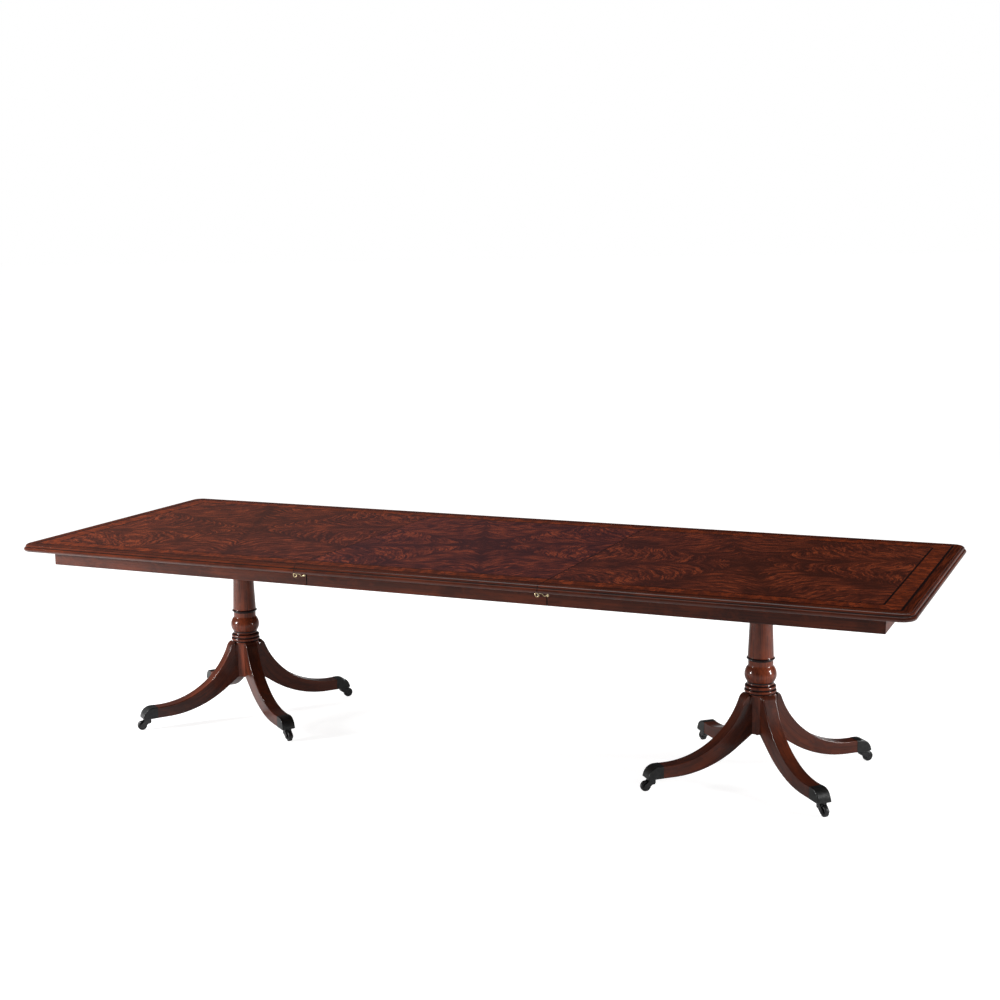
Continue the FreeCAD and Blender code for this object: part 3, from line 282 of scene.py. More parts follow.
def bar(x, low, high, half, arris, steps=4):
    """Rounded bar: at each x the section is a rectangle from low to high and half wide each way.

    Its four corners are quarter circles of the arris, made taller where the bar runs steeply so that
    they look the same size across it. Rows are stations along x, columns go round the section.
    """
    angle = np.linspace(0, math.pi / 2, steps + 1)
    slope = np.stack([np.gradient(low, x), np.gradient(high, x)])
    # a corner takes up at most this share of the section's height
    largest = 0.45
    tall = np.minimum(arris * np.sqrt(1 + slope ** 2), (high - low) * largest)
    # each corner starts and ends a little way along its flats, so that these shade flat
    lead = 1.3
    drop = np.concatenate([[lead], 1 - np.sin(angle), [0]])
    inset = np.concatenate([[0], 1 - np.cos(angle), [lead]])
    rows = x[:, None]
    up = high[:, None] - tall[1][:, None] * drop
    down = low[:, None] + tall[0][:, None] * drop
    side = half - arris * inset + 0 * rows
    y = np.concatenate([side, -side[:, ::-1], -side, side[:, ::-1]], 1)
    z = np.concatenate([up, up[:, ::-1], down, down[:, ::-1]], 1)
    return np.stack([rows + 0 * y, y, z], 2)


def closed_grid(grid):
    """Faces of a grid that closes along its columns, with a flat face at each end."""
    rows, columns = grid.shape[:2]
    faces = quads(rows, columns, wrap_columns=True)
    first = list(range(columns))[::-1]
    last = [(rows - 1) * columns + j for j in range(columns)]
    return faces + [first, last]


def outward(piece):
    """Turns faces outwards where a grid may have come out either way round."""
    mesh = piece.data
    count = len(mesh.vertices)
    points = np.empty(count * 3)
    mesh.vertices.foreach_get("co", points)
    points = points.reshape(-1, 3)
    mesh.calc_loop_triangles()
    corners = np.empty(len(mesh.loop_triangles) * 3, np.int32)
    mesh.loop_triangles.foreach_get("vertices", corners)
    a, b, c = points[corners.reshape(-1, 3)].transpose(1, 0, 2)
    if np.einsum("ij,ij->i", a, np.cross(b, c)).sum() < 0:
        mesh.flip_normals()
    return piece


# Outlines: the sizes in them are in millimetres

LIP_ROUND, LIP_STEP = 0.8, 1.6
OVOLO_RADIUS, OVOLO_FOOT = 6.8, 6.2
BEAD_RADIUS = 8
FLAT_STRIP, UNDER_STRIP = 3, 2


def edge_profile(top):
    """Moulding of a top: distance in from the edge and drop below the face, from the flat to the underside.

    The flat ends in a small round and a step. Below it are an ovolo, a quirk and a half-round bead.
    """
    lip, under = millimetres(top.lip), millimetres(top.thickness)
    flat, quirk, bead = lip + LIP_ROUND, LIP_STEP + OVOLO_RADIUS, BEAD_RADIUS
    return trace((flat + FLAT_STRIP, 0), (flat, 0), (lip, LIP_ROUND, LIP_ROUND, 1, 3), (lip, LIP_STEP),
                 (lip - LIP_ROUND, LIP_STEP), (OVOLO_FOOT, quirk, OVOLO_RADIUS, 1, 9), (bead, quirk),
                 (bead, under - 2 * bead), (0, under - bead, bead, 1, 10), (bead, under, bead, 1, 10),
                 (bead + UNDER_STRIP, under))


def ring(root, low, high, bulge, count=6):
    """Steps of a ring that bulges from a root radius between two heights."""
    radius = swell(bulge, (high - low) / 2)
    return (root + bulge, (low + high) / 2, radius, -1, count), (root, high, radius, -1, count)


# Turned column: its heights from the foot up
FOOT = millimetres(BLOCK_TOP)
FIRST_RING, SECOND_RING, THIRD_RING = 305, 319, 333
COVE, FILLET, BULB, BULB_TOP = 341, 344, 370, 397
NECK, COLLAR_FOOT, COLLAR, SHAFT = 408, 421, 428, 436.5
SHAFT_TOP, COLUMN_TOP = 690, millimetres(TENON_TOP)
RING_GAP, COLLAR_HALF = 2, 2.5

# Its radii, from the foot up
CENTRE, GAP_RADIUS = 0.01, 50
FIRST_ROOT, SECOND_ROOT, THIRD_ROOT = 50.5, 52.5, 51
COVE_RADIUS, FILLET_RADIUS, BULB_ROOT, BULB_RADIUS, BULB_END = 45.5, 46.8, 46, 56, 47.5
NECK_RADIUS, COLLAR_ROOT, COLLAR_RADIUS = 43.75, 47, 49.5
SHAFT_RADIUS, SHAFT_END, TENON_RADIUS = 45.3, 34.5, 25
COLUMN = trace(
    (CENTRE, FOOT - 1), (FIRST_ROOT, FOOT), *ring(FIRST_ROOT, FOOT, FIRST_RING, 2, 4),
    (GAP_RADIUS, FIRST_RING), (GAP_RADIUS, FIRST_RING + RING_GAP), (SECOND_ROOT, FIRST_RING + RING_GAP),
    *ring(SECOND_ROOT, FIRST_RING + RING_GAP, SECOND_RING, 4),
    (GAP_RADIUS, SECOND_RING), (GAP_RADIUS, SECOND_RING + RING_GAP), (THIRD_ROOT, SECOND_RING + RING_GAP),
    *ring(THIRD_ROOT, SECOND_RING + RING_GAP, THIRD_RING, 4),
    (GAP_RADIUS, THIRD_RING), (COVE_RADIUS, COVE, 8, 1, 6),
    (FILLET_RADIUS, COVE), (FILLET_RADIUS, FILLET), (BULB_ROOT, FILLET),
    (BULB_RADIUS, BULB, swell(BULB_RADIUS - BULB_ROOT, BULB - FILLET), -1, 14),
    (BULB_END, BULB_TOP, swell(BULB_RADIUS - BULB_END, BULB_TOP - BULB), -1, 14),
    (NECK_RADIUS, NECK, 11, 1, 6), (NECK_RADIUS, COLLAR_FOOT),
    (COLLAR_ROOT, COLLAR - COLLAR_HALF, 4.5, 1, 5), (COLLAR_RADIUS, COLLAR, COLLAR_HALF, -1, 4),
    (COLLAR_ROOT, COLLAR + COLLAR_HALF, COLLAR_HALF, -1, 4),
    (SHAFT_RADIUS, SHAFT, 6, 1, 5), (SHAFT_END, SHAFT_TOP),
    (TENON_RADIUS, SHAFT_TOP), (TENON_RADIUS, COLUMN_TOP), (CENTRE, COLUMN_TOP))

# Painted shade in the column's grooves, its cove and round its collar: each runs from a low to a high place
COLUMN_PAINTED_SHADE = ((FIRST_RING - 2, FIRST_RING + 3.5), (SECOND_RING - 2, SECOND_RING + 3.5),
                (THIRD_RING - 1, THIRD_RING + 3), (COVE - 0.5, FILLET + 2),
                (COLLAR_FOOT - 0.5, COLLAR + 4.5))


# Materials

class Nodes:
    """Shorthand for the nodes of one material or world."""

    def __init__(self, owner):
        owner.use_nodes = True
        self.owner = owner
        self.tree = owner.node_tree
        self.tree.nodes.clear()

    def add(self, kind, *inputs, out=0, **settings):
        """Output of a new node whose first sockets take the inputs."""
        node = self.tree.nodes.new(kind)
        for key, setting in settings.items():
            setattr(node, key, setting)
        for index, source in enumerate(inputs):
            self.join(node.inputs[index], source)
        return node.outputs[out]

    def join(self, socket, source):
        """Sets a socket to a number or colour, or links another node's output to it."""
        if source is None:
            return
        if isinstance(source, bpy.types.NodeSocket):
            self.tree.links.new(source, socket)
        else:
            socket.default_value = source

    def plus(self, *parts):
        total = parts[0]
        for part in parts[1:]:
            total = self.add("ShaderNodeMath", total, part, operation="ADD")
        return total

    def minus(self, a, b):
        return self.add("ShaderNodeMath", a, b, operation="SUBTRACT")

    def times(self, a, b):
        return self.add("ShaderNodeMath", a, b, operation="MULTIPLY")

    def size(self, a):
        return self.add("ShaderNodeMath", a, operation="ABSOLUTE")

    def root(self, a):
        return self.add("ShaderNodeMath", a, operation="SQRT")

    def most(self, a, b):
        return self.add("ShaderNodeMath", a, b, operation="MAXIMUM")

    def least(self, a, b):
        return self.add("ShaderNodeMath", a, b, operation="MINIMUM")

    def sway(self, noise, reach):
        """Noise turned into a shift of up to half the reach either way."""
        return self.times(self.minus(noise, 0.5), reach)

    def steps(self, value, low, high):
        """0 below low, 1 above high, smooth between."""
        return self.add("ShaderNodeMapRange", value, low, high, interpolation_type="SMOOTHSTEP")

    def within(self, value, low, high, soft=0.0004):
        """1 between low and high, 0 outside, smooth over the soft distance."""
        above = self.steps(value, low - soft, low + soft)
        return self.times(above, self.steps(value, high + soft, high - soft))

    def mix(self, share, a, b):
        """Colour a with a share of colour b, which are sockets 6 and 7 of the node."""
        node = self.tree.nodes.new("ShaderNodeMix")
        node.data_type = "RGBA"
        for index, source in ((0, share), (6, a), (7, b)):
            if not isinstance(source, bpy.types.NodeSocket) and index:
                source = (*source, 1)
            self.join(node.inputs[index], source)
        return node.outputs[2]

    def object_place(self):
        """Place in the object's own frame, which is the table's, as every piece sits at the origin."""
        return self.add("ShaderNodeTexCoord", out=3)

    def apart(self, vector):
        """The three parts of a vector."""
        node = self.tree.nodes.new("ShaderNodeSeparateXYZ")
        self.join(node.inputs[0], vector)
        return node.outputs

    def vector(self, x, y, z=0.0):
        return self.add("ShaderNodeCombineXYZ", x, y, z)

    def scaled(self, vector, scale, offset=(0, 0, 0)):
        return self.add("ShaderNodeMapping", vector, offset, (0, 0, 0), scale)

    def noise(self, vector, detail=3.0, rough=0.55, twist=0.0):
        node = self.tree.nodes.new("ShaderNodeTexNoise")
        for key, source in (("Vector", vector), ("Scale", 1.0), ("Detail", detail), ("Roughness", rough),
                            ("Distortion", twist)):
            self.join(node.inputs[key], source)
        return node.outputs[0]

    def bump(self, height, strength, distance, normal=None):
        node = self.tree.nodes.new("ShaderNodeBump")
        node.inputs["Strength"].default_value = strength
        node.inputs["Distance"].default_value = distance
        self.join(node.inputs["Height"], height)
        self.join(node.inputs["Normal"], normal)
        return node.outputs[0]

    def finish(self, **inputs):
        """The material, with a principled shader that has these inputs."""
        shader = self.tree.nodes.new("ShaderNodeBsdfPrincipled")
        for key, source in inputs.items():
            socket = shader.inputs[key.replace("_", " ")]
            if isinstance(source, tuple) and len(source) == 3:
                source = (*source, 1)
            self.join(socket, source)
        end = self.tree.nodes.new("ShaderNodeOutputMaterial")
        self.tree.links.new(shader.outputs[0], end.inputs[0])
        return self.owner


def shaded(shade, gain):
    return tuple(min(gain * part, 1) for part in shade)


def around(place, half):
    """Low and high end of a line that is half wide each way about a place."""
    return place - half, place + half


# Depth of pores and scratches, and half the width of the dark stain at the seams, in metres
FINE_DEPTH = 0.0002
SEAM_STAIN = {"rail": 0.002, "moulding": 0.0015, "top": 0.0018}


def straight_grain(m, place, ground, light, dark):
    """Ribbon-striped wood: long streaks, finer streaks, clouds, mottle and short pores.

    place runs along the grain, across it and into it. Gives the tone and where the pores are.
    """
    broad = m.noise(m.scaled(place, (1.4, 26, 26)), 3, 0.5, 0.4)
    fine = m.noise(m.scaled(place, (5, 190, 190)), 4, 0.6)
    cloud = m.noise(m.scaled(place, (5.5, 9, 9)), 3, 0.6, 0.5)
    tone = m.mix(m.steps(broad, 0.34, 0.72), ground, light)
    tone = m.mix(m.times(m.steps(fine, 0.42, 0.66), 0.5), tone, dark)
    tone = m.mix(m.times(m.steps(cloud, 0.42, 0.68), 0.5), tone, dark)
    mottle = m.noise(m.scaled(place, (24, 42, 42)), 3, 0.6, 0.6)
    tone = m.mix(m.times(m.steps(mottle, 0.50, 0.66), 0.35), tone, light)
    pore = m.steps(m.noise(m.scaled(place, (90, 2600, 2600)), 1, 0.5), 0.66, 0.76)
    return m.mix(m.times(pore, 0.5), tone, dark), pore


def along_grain(m, place, axis):
    """The place turned so that its first part runs along one axis."""
    x, y, z = m.apart(place)
    return m.vector(*{"x": (x, y, z), "y": (y, z, x), "z": (z, x, y)}[axis])


def stain_and_painted_shade(m, tone, value, lines, stain):
    """Dark lines: stain at joints and painted shade in grooves, each from a low to a high value."""
    for low, high in lines:
        tone = m.mix(m.within(value, low, high, soft=0.0006), tone, stain)
    return tone


def rail_material(name, axis, finish, gain=1.0, seam=None):
    """Rubbed polish on a rail whose grain runs along one axis of the object."""
    m = Nodes(bpy.data.materials.new(name))
    spot = m.object_place()
    place = along_grain(m, spot, axis)
    tone, pore = straight_grain(m, place, shaded(finish.rail, gain), shaded(finish.light, 0.7 * gain),
                                shaded(finish.dark, gain))
    if seam:
        x, _, _ = m.apart(spot)
        tone = stain_and_painted_shade(m, tone, m.size(x), [around(seam, SEAM_STAIN["rail"])], tuple(finish.string))
    return m.finish(Base_Color=tone, Roughness=0.38, Normal=m.bump(pore, 0.06, FINE_DEPTH),
                    Coat_Weight=0.08, Coat_Roughness=0.2, Specular_IOR_Level=0.21)


def column_material(name, finish, reach):
    """French polish on a turning, whose grain stands upright about the pedestal's own axis."""
    m = Nodes(bpy.data.materials.new(name))
    spot = m.scaled(m.object_place(), (1, 1, 1), (-reach, 0, 0))
    tone, pore = straight_grain(m, along_grain(m, spot, "z"), shaded(finish.rail, 1.75),
                                shaded(finish.light, 1.22), shaded(finish.dark, 1.2))
    # painted shade: dark bands in the grooves between the rings, in the cove and round the collar
    painted_shade_bands = [(low / 1000, high / 1000) for low, high in COLUMN_PAINTED_SHADE]
    tone = stain_and_painted_shade(m, tone, m.apart(spot)[2], painted_shade_bands, shaded(finish.string, 1.5))
    return m.finish(Base_Color=tone, Roughness=0.3, Normal=m.bump(pore, 0.05, FINE_DEPTH), Coat_Weight=0.5,
                    Coat_Roughness=0.07, Coat_IOR=1.5, Specular_IOR_Level=0.1)


def grain_material(name, finish, gain, coat, top=None):
    """Polished wood whose grain follows the piece's own grain attribute.

    A top's moulding is dark where two tops meet, with painted shade at the flat's lip and the ovolo's
    quirk.
    """
    m = Nodes(bpy.data.materials.new(name))
    place = m.add("ShaderNodeAttribute", attribute_name="grain", out=1)
    tone, pore = straight_grain(m, place, shaded(finish.rail, gain), shaded(finish.light, 0.6 * gain),
                                shaded(finish.dark, gain))
    if top:
        x, _, z = m.apart(m.object_place())
        seam = around(top.leaf / 2, SEAM_STAIN["moulding"])
        tone = stain_and_painted_shade(m, tone, m.size(x), [seam], tuple(finish.string))
        # painted shade: a dark line just under the lip of the flat, and another in the quirk below the
        # ovolo
        lip, quirk = (0.0005, 0.0018), (0.0083, 0.0112)
        lines = [(top.height - deepest, top.height - highest) for highest, deepest in (lip, quirk)]
        tone = stain_and_painted_shade(m, tone, z, lines, tuple(finish.string))
    return m.finish(Base_Color=tone, Roughness=0.3, Normal=m.bump(pore, 0.06, FINE_DEPTH), Coat_Weight=coat,
                    Coat_Roughness=0.12, Coat_IOR=1.5, Specular_IOR_Level=0.15)


def plain_material(name, axis, finish):
    """Planed wood of the frame, without polish."""
    m = Nodes(bpy.data.materials.new(name))
    place = along_grain(m, m.object_place(), axis)
    tone, pore = straight_grain(m, place, tuple(finish.plain), shaded(finish.plain, 1.35),
                                shaded(finish.plain, 0.45))
    return m.finish(Base_Color=tone, Roughness=0.62, Normal=m.bump(pore, 0.25, 0.0003))


def wedge(m, x, y, centre):
    """Plan folded into one wedge of an eighth of a turn: distance out along its middle, and off from it."""
    along, across = m.size(m.minus(x, centre)), m.size(y)
    big, small = m.most(along, across), m.least(along, across)
    half_wedge = math.pi / 8
    c, s = math.cos(half_wedge), math.sin(half_wedge)
    out = m.plus(m.times(big, c), m.times(small, s))
    return out, m.size(m.minus(m.times(small, c), m.times(big, s)))


def flame_figure(m, x, y, centre, finish, seed, tint):
    """Flame veneer laid in eight wedges about a centre, each with a dark spine up its middle.

    The plume's lines leave the spine almost along it, as a root of the distance from it, and bend round to
    run across the wedge. The tint over it is the given one towards the middle of the table and the end tint
    at its ends. Gives the tone, the place along the plume's lines and the distance from the spine.
    """
    out, off = wedge(m, x, y, centre)
    plan = m.vector(x, y)
    drift = m.noise(m.scaled(plan, (5, 5, 5), (seed, 0, 0)), 2, 0.5)
    own_drift = m.noise(m.scaled(m.vector(out, off), (9, 9, 9), (3, 7, seed)), 2, 0.5)
    shiver = m.noise(m.scaled(plan, (24, 24, 24), (0, seed, 0)), 2, 0.5)
    fan = m.times(m.root(m.plus(off, 0.0025)), 0.42)
    line = m.plus(out, fan, m.sway(drift, 0.15), m.sway(own_drift, 0.07), m.sway(shiver, 0.020))
    streak = m.noise(m.vector(m.times(line, 52), m.times(off, 13), seed), 3, 0.6, 0.2)
    flicker = m.noise(m.vector(m.times(line, 120), m.times(off, 24), seed + 3), 2, 0.6, 0.2)
    cloud = m.noise(m.scaled(plan, (6, 6, 6), (seed, 2, 5)), 3, 0.6, 0.6)
    patch = m.noise(m.scaled(plan, (16, 16, 16), (5, seed, 2)), 2, 0.55, 0.8)
    # flames show strongly in patches and fade to plain ground between them
    lively = m.plus(m.times(m.steps(patch, 0.36, 0.64), 0.7), 0.7)
    level = m.plus(0.5, m.times(m.minus(streak, 0.5), lively), m.sway(flicker, 0.75),
                   m.sway(cloud, 0.34))
    tone = m.mix(m.steps(level, 0.33, 0.55), tuple(finish.dark), tuple(finish.middle))
    tone = m.mix(m.steps(level, 0.50, 0.72), tone, tuple(finish.light))
    # the spine is darkest near the centre, and cloudy shade lies beside it
    ragged = m.plus(off, m.sway(own_drift, 0.06), m.sway(streak, 0.05))
    near = m.steps(out, 0.75, 0.12)
    spine = m.times(m.steps(ragged, 0.030, 0.0), m.plus(m.times(near, 0.3), 0.4))
    shade = m.times(m.steps(ragged, 0.10, 0.0), m.times(m.steps(cloud, 0.60, 0.42), 0.6))
    tone = m.mix(spine, tone, tuple(finish.dark))
    tone = m.mix(shade, tone, tuple(finish.dark))
    # the tint changes from beside the leaf to near the table's ends
    warmth = m.steps(m.size(x), 0.4, 1.2)
    strength = 0.22
    tone = m.mix(strength, tone, m.mix(warmth, tuple(tint), tuple(finish.end_tint)))
    return tone, line, off


def edge_places(m, x, y, top, has_end):
    """Distance in from the lip with square corners, the same with round ones, and place along the edge."""
    from_side = m.minus(top.width / 2 - top.lip, m.size(y))
    if not has_end:
        return from_side, from_side, x
    from_end = m.minus(top.length / 2 - top.lip, m.size(x))
    inward = m.least(from_side, from_end)
    at_end = m.add("ShaderNodeMath", from_end, from_side, operation="LESS_THAN")
    run = m.plus(m.times(at_end, y), m.times(m.minus(1.0, at_end), x))
    radius = top.corner - top.lip
    u, v = m.minus(radius, from_side), m.minus(radius, from_end)
    square = m.least(m.most(u, v), 0.0)
    u, v = m.most(u, 0.0), m.most(v, 0.0)
    diagonal = m.root(m.plus(m.times(u, u), m.times(v, v)))
    return inward, m.minus(m.minus(radius, diagonal), square), run


def crossband(m, run, inward, finish, seed):
    """Tone of the crossband: short lengths of veneer whose grain runs square to the edge."""
    veneers = m.noise(m.vector(m.times(run, 16), 3.0), 2, 0.5)
    mottle = m.noise(m.vector(m.times(run, 45), m.times(inward, 30), seed), 3, 0.6, 0.5)
    fine = m.noise(m.vector(m.times(run, 260), m.times(inward, 14)), 3, 0.6)
    tone = m.mix(m.steps(veneers, 0.35, 0.65), shaded(finish.band, 0.55), tuple(finish.band))
    tone = m.mix(m.times(m.steps(mottle, 0.40, 0.60), 0.9), tone, shaded(finish.middle, 0.8))
    return m.mix(m.times(m.steps(fine, 0.45, 0.7), 0.4), tone, tuple(finish.middle))


def border(m, run, inward, finish):
    """Tone of the border outside the strings, whose grain runs along the edge."""
    ribbon = m.noise(m.vector(m.times(run, 6), m.times(inward, 160)), 3, 0.6, 0.3)
    return m.mix(m.steps(ribbon, 0.40, 0.64), shaded(finish.middle, 0.42), shaded(finish.band, 0.55))


def top_material(name, centre, finish, top, seed, tint, has_end=True):
    """Flame veneer with strings, a crossband and a border near the edge, and a dark line at the seam.

    A top with an end has them along the table's end too. The inner string turns a square corner there, and
    the outer one a round corner inside the table's own.
    """
    m = Nodes(bpy.data.materials.new(name))
    x, y, _ = m.apart(m.object_place())
    tone, line, off = flame_figure(m, x, y, centre, finish, seed, tint)
    inward, rounded, run = edge_places(m, x, y, top, has_end)
    outer = around(top.outer_string, top.outer_string_width / 2)
    inner = around(top.inner_string, top.inner_string_width / 2)
    beyond_lip = -0.02
    tone = m.mix(m.within(inward, *inner), tone, tuple(finish.string))
    tone = m.mix(m.within(inward, outer[1], inner[0]), tone, crossband(m, run, inward, finish, seed))
    tone = m.mix(m.within(inward, beyond_lip, outer[1]), tone, border(m, run, inward, finish))
    tone = m.mix(m.within(rounded, *outer), tone, tuple(finish.string))
    tone = stain_and_painted_shade(m, tone, m.size(x), [around(top.leaf / 2, SEAM_STAIN["top"])], tuple(finish.string))
    pores = m.noise(m.vector(m.times(line, 900), m.times(off, 120), 9.0), 1)
    ripple = m.noise(m.scaled(m.vector(x, y), (3, 3, 3)), 1)
    normal = m.bump(ripple, 0.05, 0.002, m.bump(pores, 0.03, FINE_DEPTH))
    return m.finish(Base_Color=tone, Roughness=0.3, Normal=normal, Coat_Weight=0.5,
                    Coat_Roughness=finish.polish, Coat_IOR=1.45, Specular_IOR_Level=0.0)


def metal_material(name, base, rough, scratches, metallic=1.0, coat=0.0):
    """Cast or worked metal with a faint mottling and fine wear."""
    m = Nodes(bpy.data.materials.new(name))
    place = m.object_place()
    mottle = m.noise(m.scaled(place, (90, 90, 90)), 4, 0.6)
    wear = m.noise(m.scaled(place, (600, 600, 600)), 2, 0.5)
    tone = m.mix(m.steps(mottle, 0.3, 0.75), shaded(base, 0.72), shaded(base, 1.22))
    roughness = m.add("ShaderNodeMapRange", mottle, 0.3, 0.7, *rough)
    return m.finish(Base_Color=tone, Metallic=metallic, Roughness=roughness, Coat_Weight=coat,
                    Normal=m.bump(wear, scratches, FINE_DEPTH))


def finish_named(name):
    return bpy.data.materials[name]


# Pieces

def place_grain(along, across, depth, seed):
    """Place in the board, moved by a seed so that no two pieces are cut from the same spot."""
    grain = np.stack(np.broadcast_arrays(along, across, depth), -1).astype(float)
    return grain + seed * np.array([3.7, 1.3, 2.1])


class TABLE_OT_finishes(bpy.types.Operator):
    """Make the materials of wood and metal"""

    bl_idname = "table.finishes"
    bl_label = "Finishes"

    def execute(self, context):
        finish = sizes("table_finish")
        top = sizes("table_top")
        # an end top's figure is centred between the seam and the inner string
        string = top.length / 2 - top.lip - top.inner_string - top.inner_string_width / 2
        centre = (string + top.leaf / 2) / 2
        top_material("top left", -centre, finish, top, seed=1.0, tint=finish.seam_tint)
        top_material("top right", centre, finish, top, seed=12.0, tint=finish.seam_tint)
        top_material("top leaf", 0.0, finish, top, seed=23.0, tint=finish.leaf_tint, has_end=False)
        grain_material("moulding", finish, gain=1.25, coat=0.6, top=top)
        grain_material("leg", finish, gain=1.0, coat=0.5)
        for side, sign in SIDES.items():
            column_material(f"column {side}", finish, sign * sizes("table_pedestal").reach)
        rail_material("rail along", "x", finish, gain=1.05, seam=top.leaf / 2)
        rail_material("rail across", "y", finish)
        # the leg blocks take the rail's colours 1.9 times as bright: painted light, as if lit from the
        # front and below
        rail_material("block", "z", finish, gain=1.9)
        plain_material("hidden along", "x", finish)
        plain_material("hidden across", "y", finish)
        metal_material("brass", finish.brass, rough=(0.26, 0.44), scratches=0.15)
        metal_material("toe cap", finish.cap, rough=(0.30, 0.46), scratches=0.2, metallic=0.55, coat=0.25)
        metal_material("castor", finish.black, rough=(0.18, 0.34), scratches=0.15, metallic=0.3, coat=0.5)
        metal_material("wheel", finish.black, rough=(0.28, 0.42), scratches=0.1, metallic=0.0, coat=0.3)
        metal_material("screw", finish.steel, rough=(0.3, 0.45), scratches=0.2)
        return {"FINISHED"}


# Points along each straight stretch of a top's edge
STATIONS = 12


def end_plan(top, reach, distance, corner_steps=16):
    """Plan of an end top's edge, a distance inside it, from the front seam round the end to the back seam.

    It is a straight line, a quarter turn, a straight line, a quarter turn and a straight line.
    """
    radius = top.corner - distance
    cx, cy = reach - top.corner, top.width / 2 - top.corner
    angle = np.linspace(0, math.pi / 2, corner_steps + 1)
    front = np.stack([cx + radius * np.sin(angle), -cy - radius * np.cos(angle)], 1)
    back = np.stack([cx + radius * np.cos(angle), cy + radius * np.sin(angle)], 1)
    straight = np.linspace(0, cx, STATIONS)[:-1]
    side = top.width / 2 - distance
    lead = np.stack([straight, 0 * straight - side], 1)
    across = np.linspace(-cy, cy, STATIONS)[1:-1]
    middle = np.stack([0 * across + reach - distance, across], 1)
    tail = np.stack([straight[::-1], 0 * straight + side], 1)
    return np.concatenate([lead, front, middle, back, tail])


class TABLE_OT_end_tops(bpy.types.Operator):
    """Make the two end tops"""

    bl_idname = "table.end_tops"
    bl_label = "End tops"

    def execute(self, context):
        top = sizes("table_top")
        reach = (top.length - top.leaf) / 2 - top.seam
        edge = edge_profile(top)
        rings = np.array([end_plan(top, reach, distance) for distance in edge[:, 0]])
        rows, columns = rings.shape[:2]
        height = np.broadcast_to((top.height - edge[:, 1])[:, None, None], (rows, columns, 1))
        points = np.concatenate([rings, height], 2).reshape(-1, 3)
        sides = quads(rows, columns)
        face = list(range(columns))
        underside = [(rows - 1) * columns + j for j in reversed(range(columns))]
        joint = [(i + 1) * columns - 1 for i in range(rows)] + [i * columns for i in reversed(range(rows))]
        slots = [1] * len(sides) + [0, 2, 2]
        for side, sign in SIDES.items():
            grain = place_grain(travelled(rings[0])[None], travelled(edge)[:, None], 0, seed=sign + 2)
            away = 0 if sign > 0 else math.pi
            placed = turned(points, away, (sign * (top.leaf / 2 + top.seam), 0, 0))
            materials = [finish_named(name) for name in (f"top {side}", "moulding", "rail along")]
            piece = build(f"end_top_{side}", placed, sides + [face, underside, joint], materials, slots,
                          grain, sharp=28)
            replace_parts(outward(piece), f"top_{side}")
            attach(piece, f"{side}_end")
        return {"FINISHED"}


class TABLE_OT_leaf(bpy.types.Operator):
    """Make the loose leaf"""

    bl_idname = "table.leaf"
    bl_label = "Leaf"

    def execute(self, context):
        top = sizes("table_top")
        half = top.leaf / 2 - top.seam
        edge = edge_profile(top)
        front = np.stack([edge[:, 0] - top.width / 2, top.height - edge[:, 1]], 1)
        back = front[::-1] * np.array([-1, 1])
        section = np.concatenate([front, back])
        station = np.linspace(-half, half, STATIONS)
        count = len(section)
        grid = np.empty((len(station), count, 3))
        grid[..., 0] = station[:, None]
        grid[..., 1:] = section[None]
        run = travelled(edge)
        grain = place_grain(station[:, None], np.concatenate([run, run[::-1]])[None], 0, seed=5)
        faces = quads(len(station), count, wrap_columns=True)
        column = np.arange(len(faces)) % count
        slots = np.where(column == count - 1, 0, np.where(column == len(edge) - 1, 2, 1))
        first = list(range(count))
        last = [(len(station) - 1) * count + j for j in range(count)]
        materials = [finish_named(name) for name in ("top leaf", "moulding", "rail along")]
        piece = build("leaf_top", grid, faces + [first[::-1], last], materials,
                      np.concatenate([slots, [2, 2]]), grain, sharp=28)
        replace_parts(outward(piece), "top_leaf")
        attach(piece, "leaf")
        return {"FINISHED"}


class TABLE_OT_columns(bpy.types.Operator):
    """Make the two turned columns"""

    bl_idname = "table.columns"
    bl_label = "Columns"

    def execute(self, context):
        grid = lathe(COLUMN, count=128)
        rows, columns = grid.shape[:2]
        bottom = [i * columns for i in range(rows)]
        top = [(i + 1) * columns - 1 for i in reversed(range(rows))]
        faces = quads(rows, columns, wrap_rows=True) + [bottom, top]
        for side, sign in SIDES.items():
            points = grid.reshape(-1, 3) + np.array([sign * sizes("table_pedestal").reach, 0, 0])
            piece = build(f"turned_column_{side}", points, faces, [finish_named(f"column {side}")])
            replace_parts(outward(piece), f"column_{side}")
            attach(piece, f"{side}_end")
        return {"FINISHED"}


def legs():
    """Side, name and direction of each leg, and the place of its pedestal on the floor."""
    pedestal = sizes("table_pedestal")
    for side, sign in SIDES.items():
        for name, angle in LEG_ANGLES.items():
            own = math.radians(180 - angle if side == "left" else angle)
            yield side, name, own + getattr(pedestal, f"{side}_turn"), (sign * pedestal.reach, 0, 0)


# Toe cap, in metres: the cap stands a little proud of the leg's end, which it covers
CAP_NOSE, CAP_LENGTH, CAP_ROUND, CAP_CUT = 0.44, 0.058, 0.041, 0.006
CAP_PROUD, CAP_ARRIS = 0.0008, 0.003

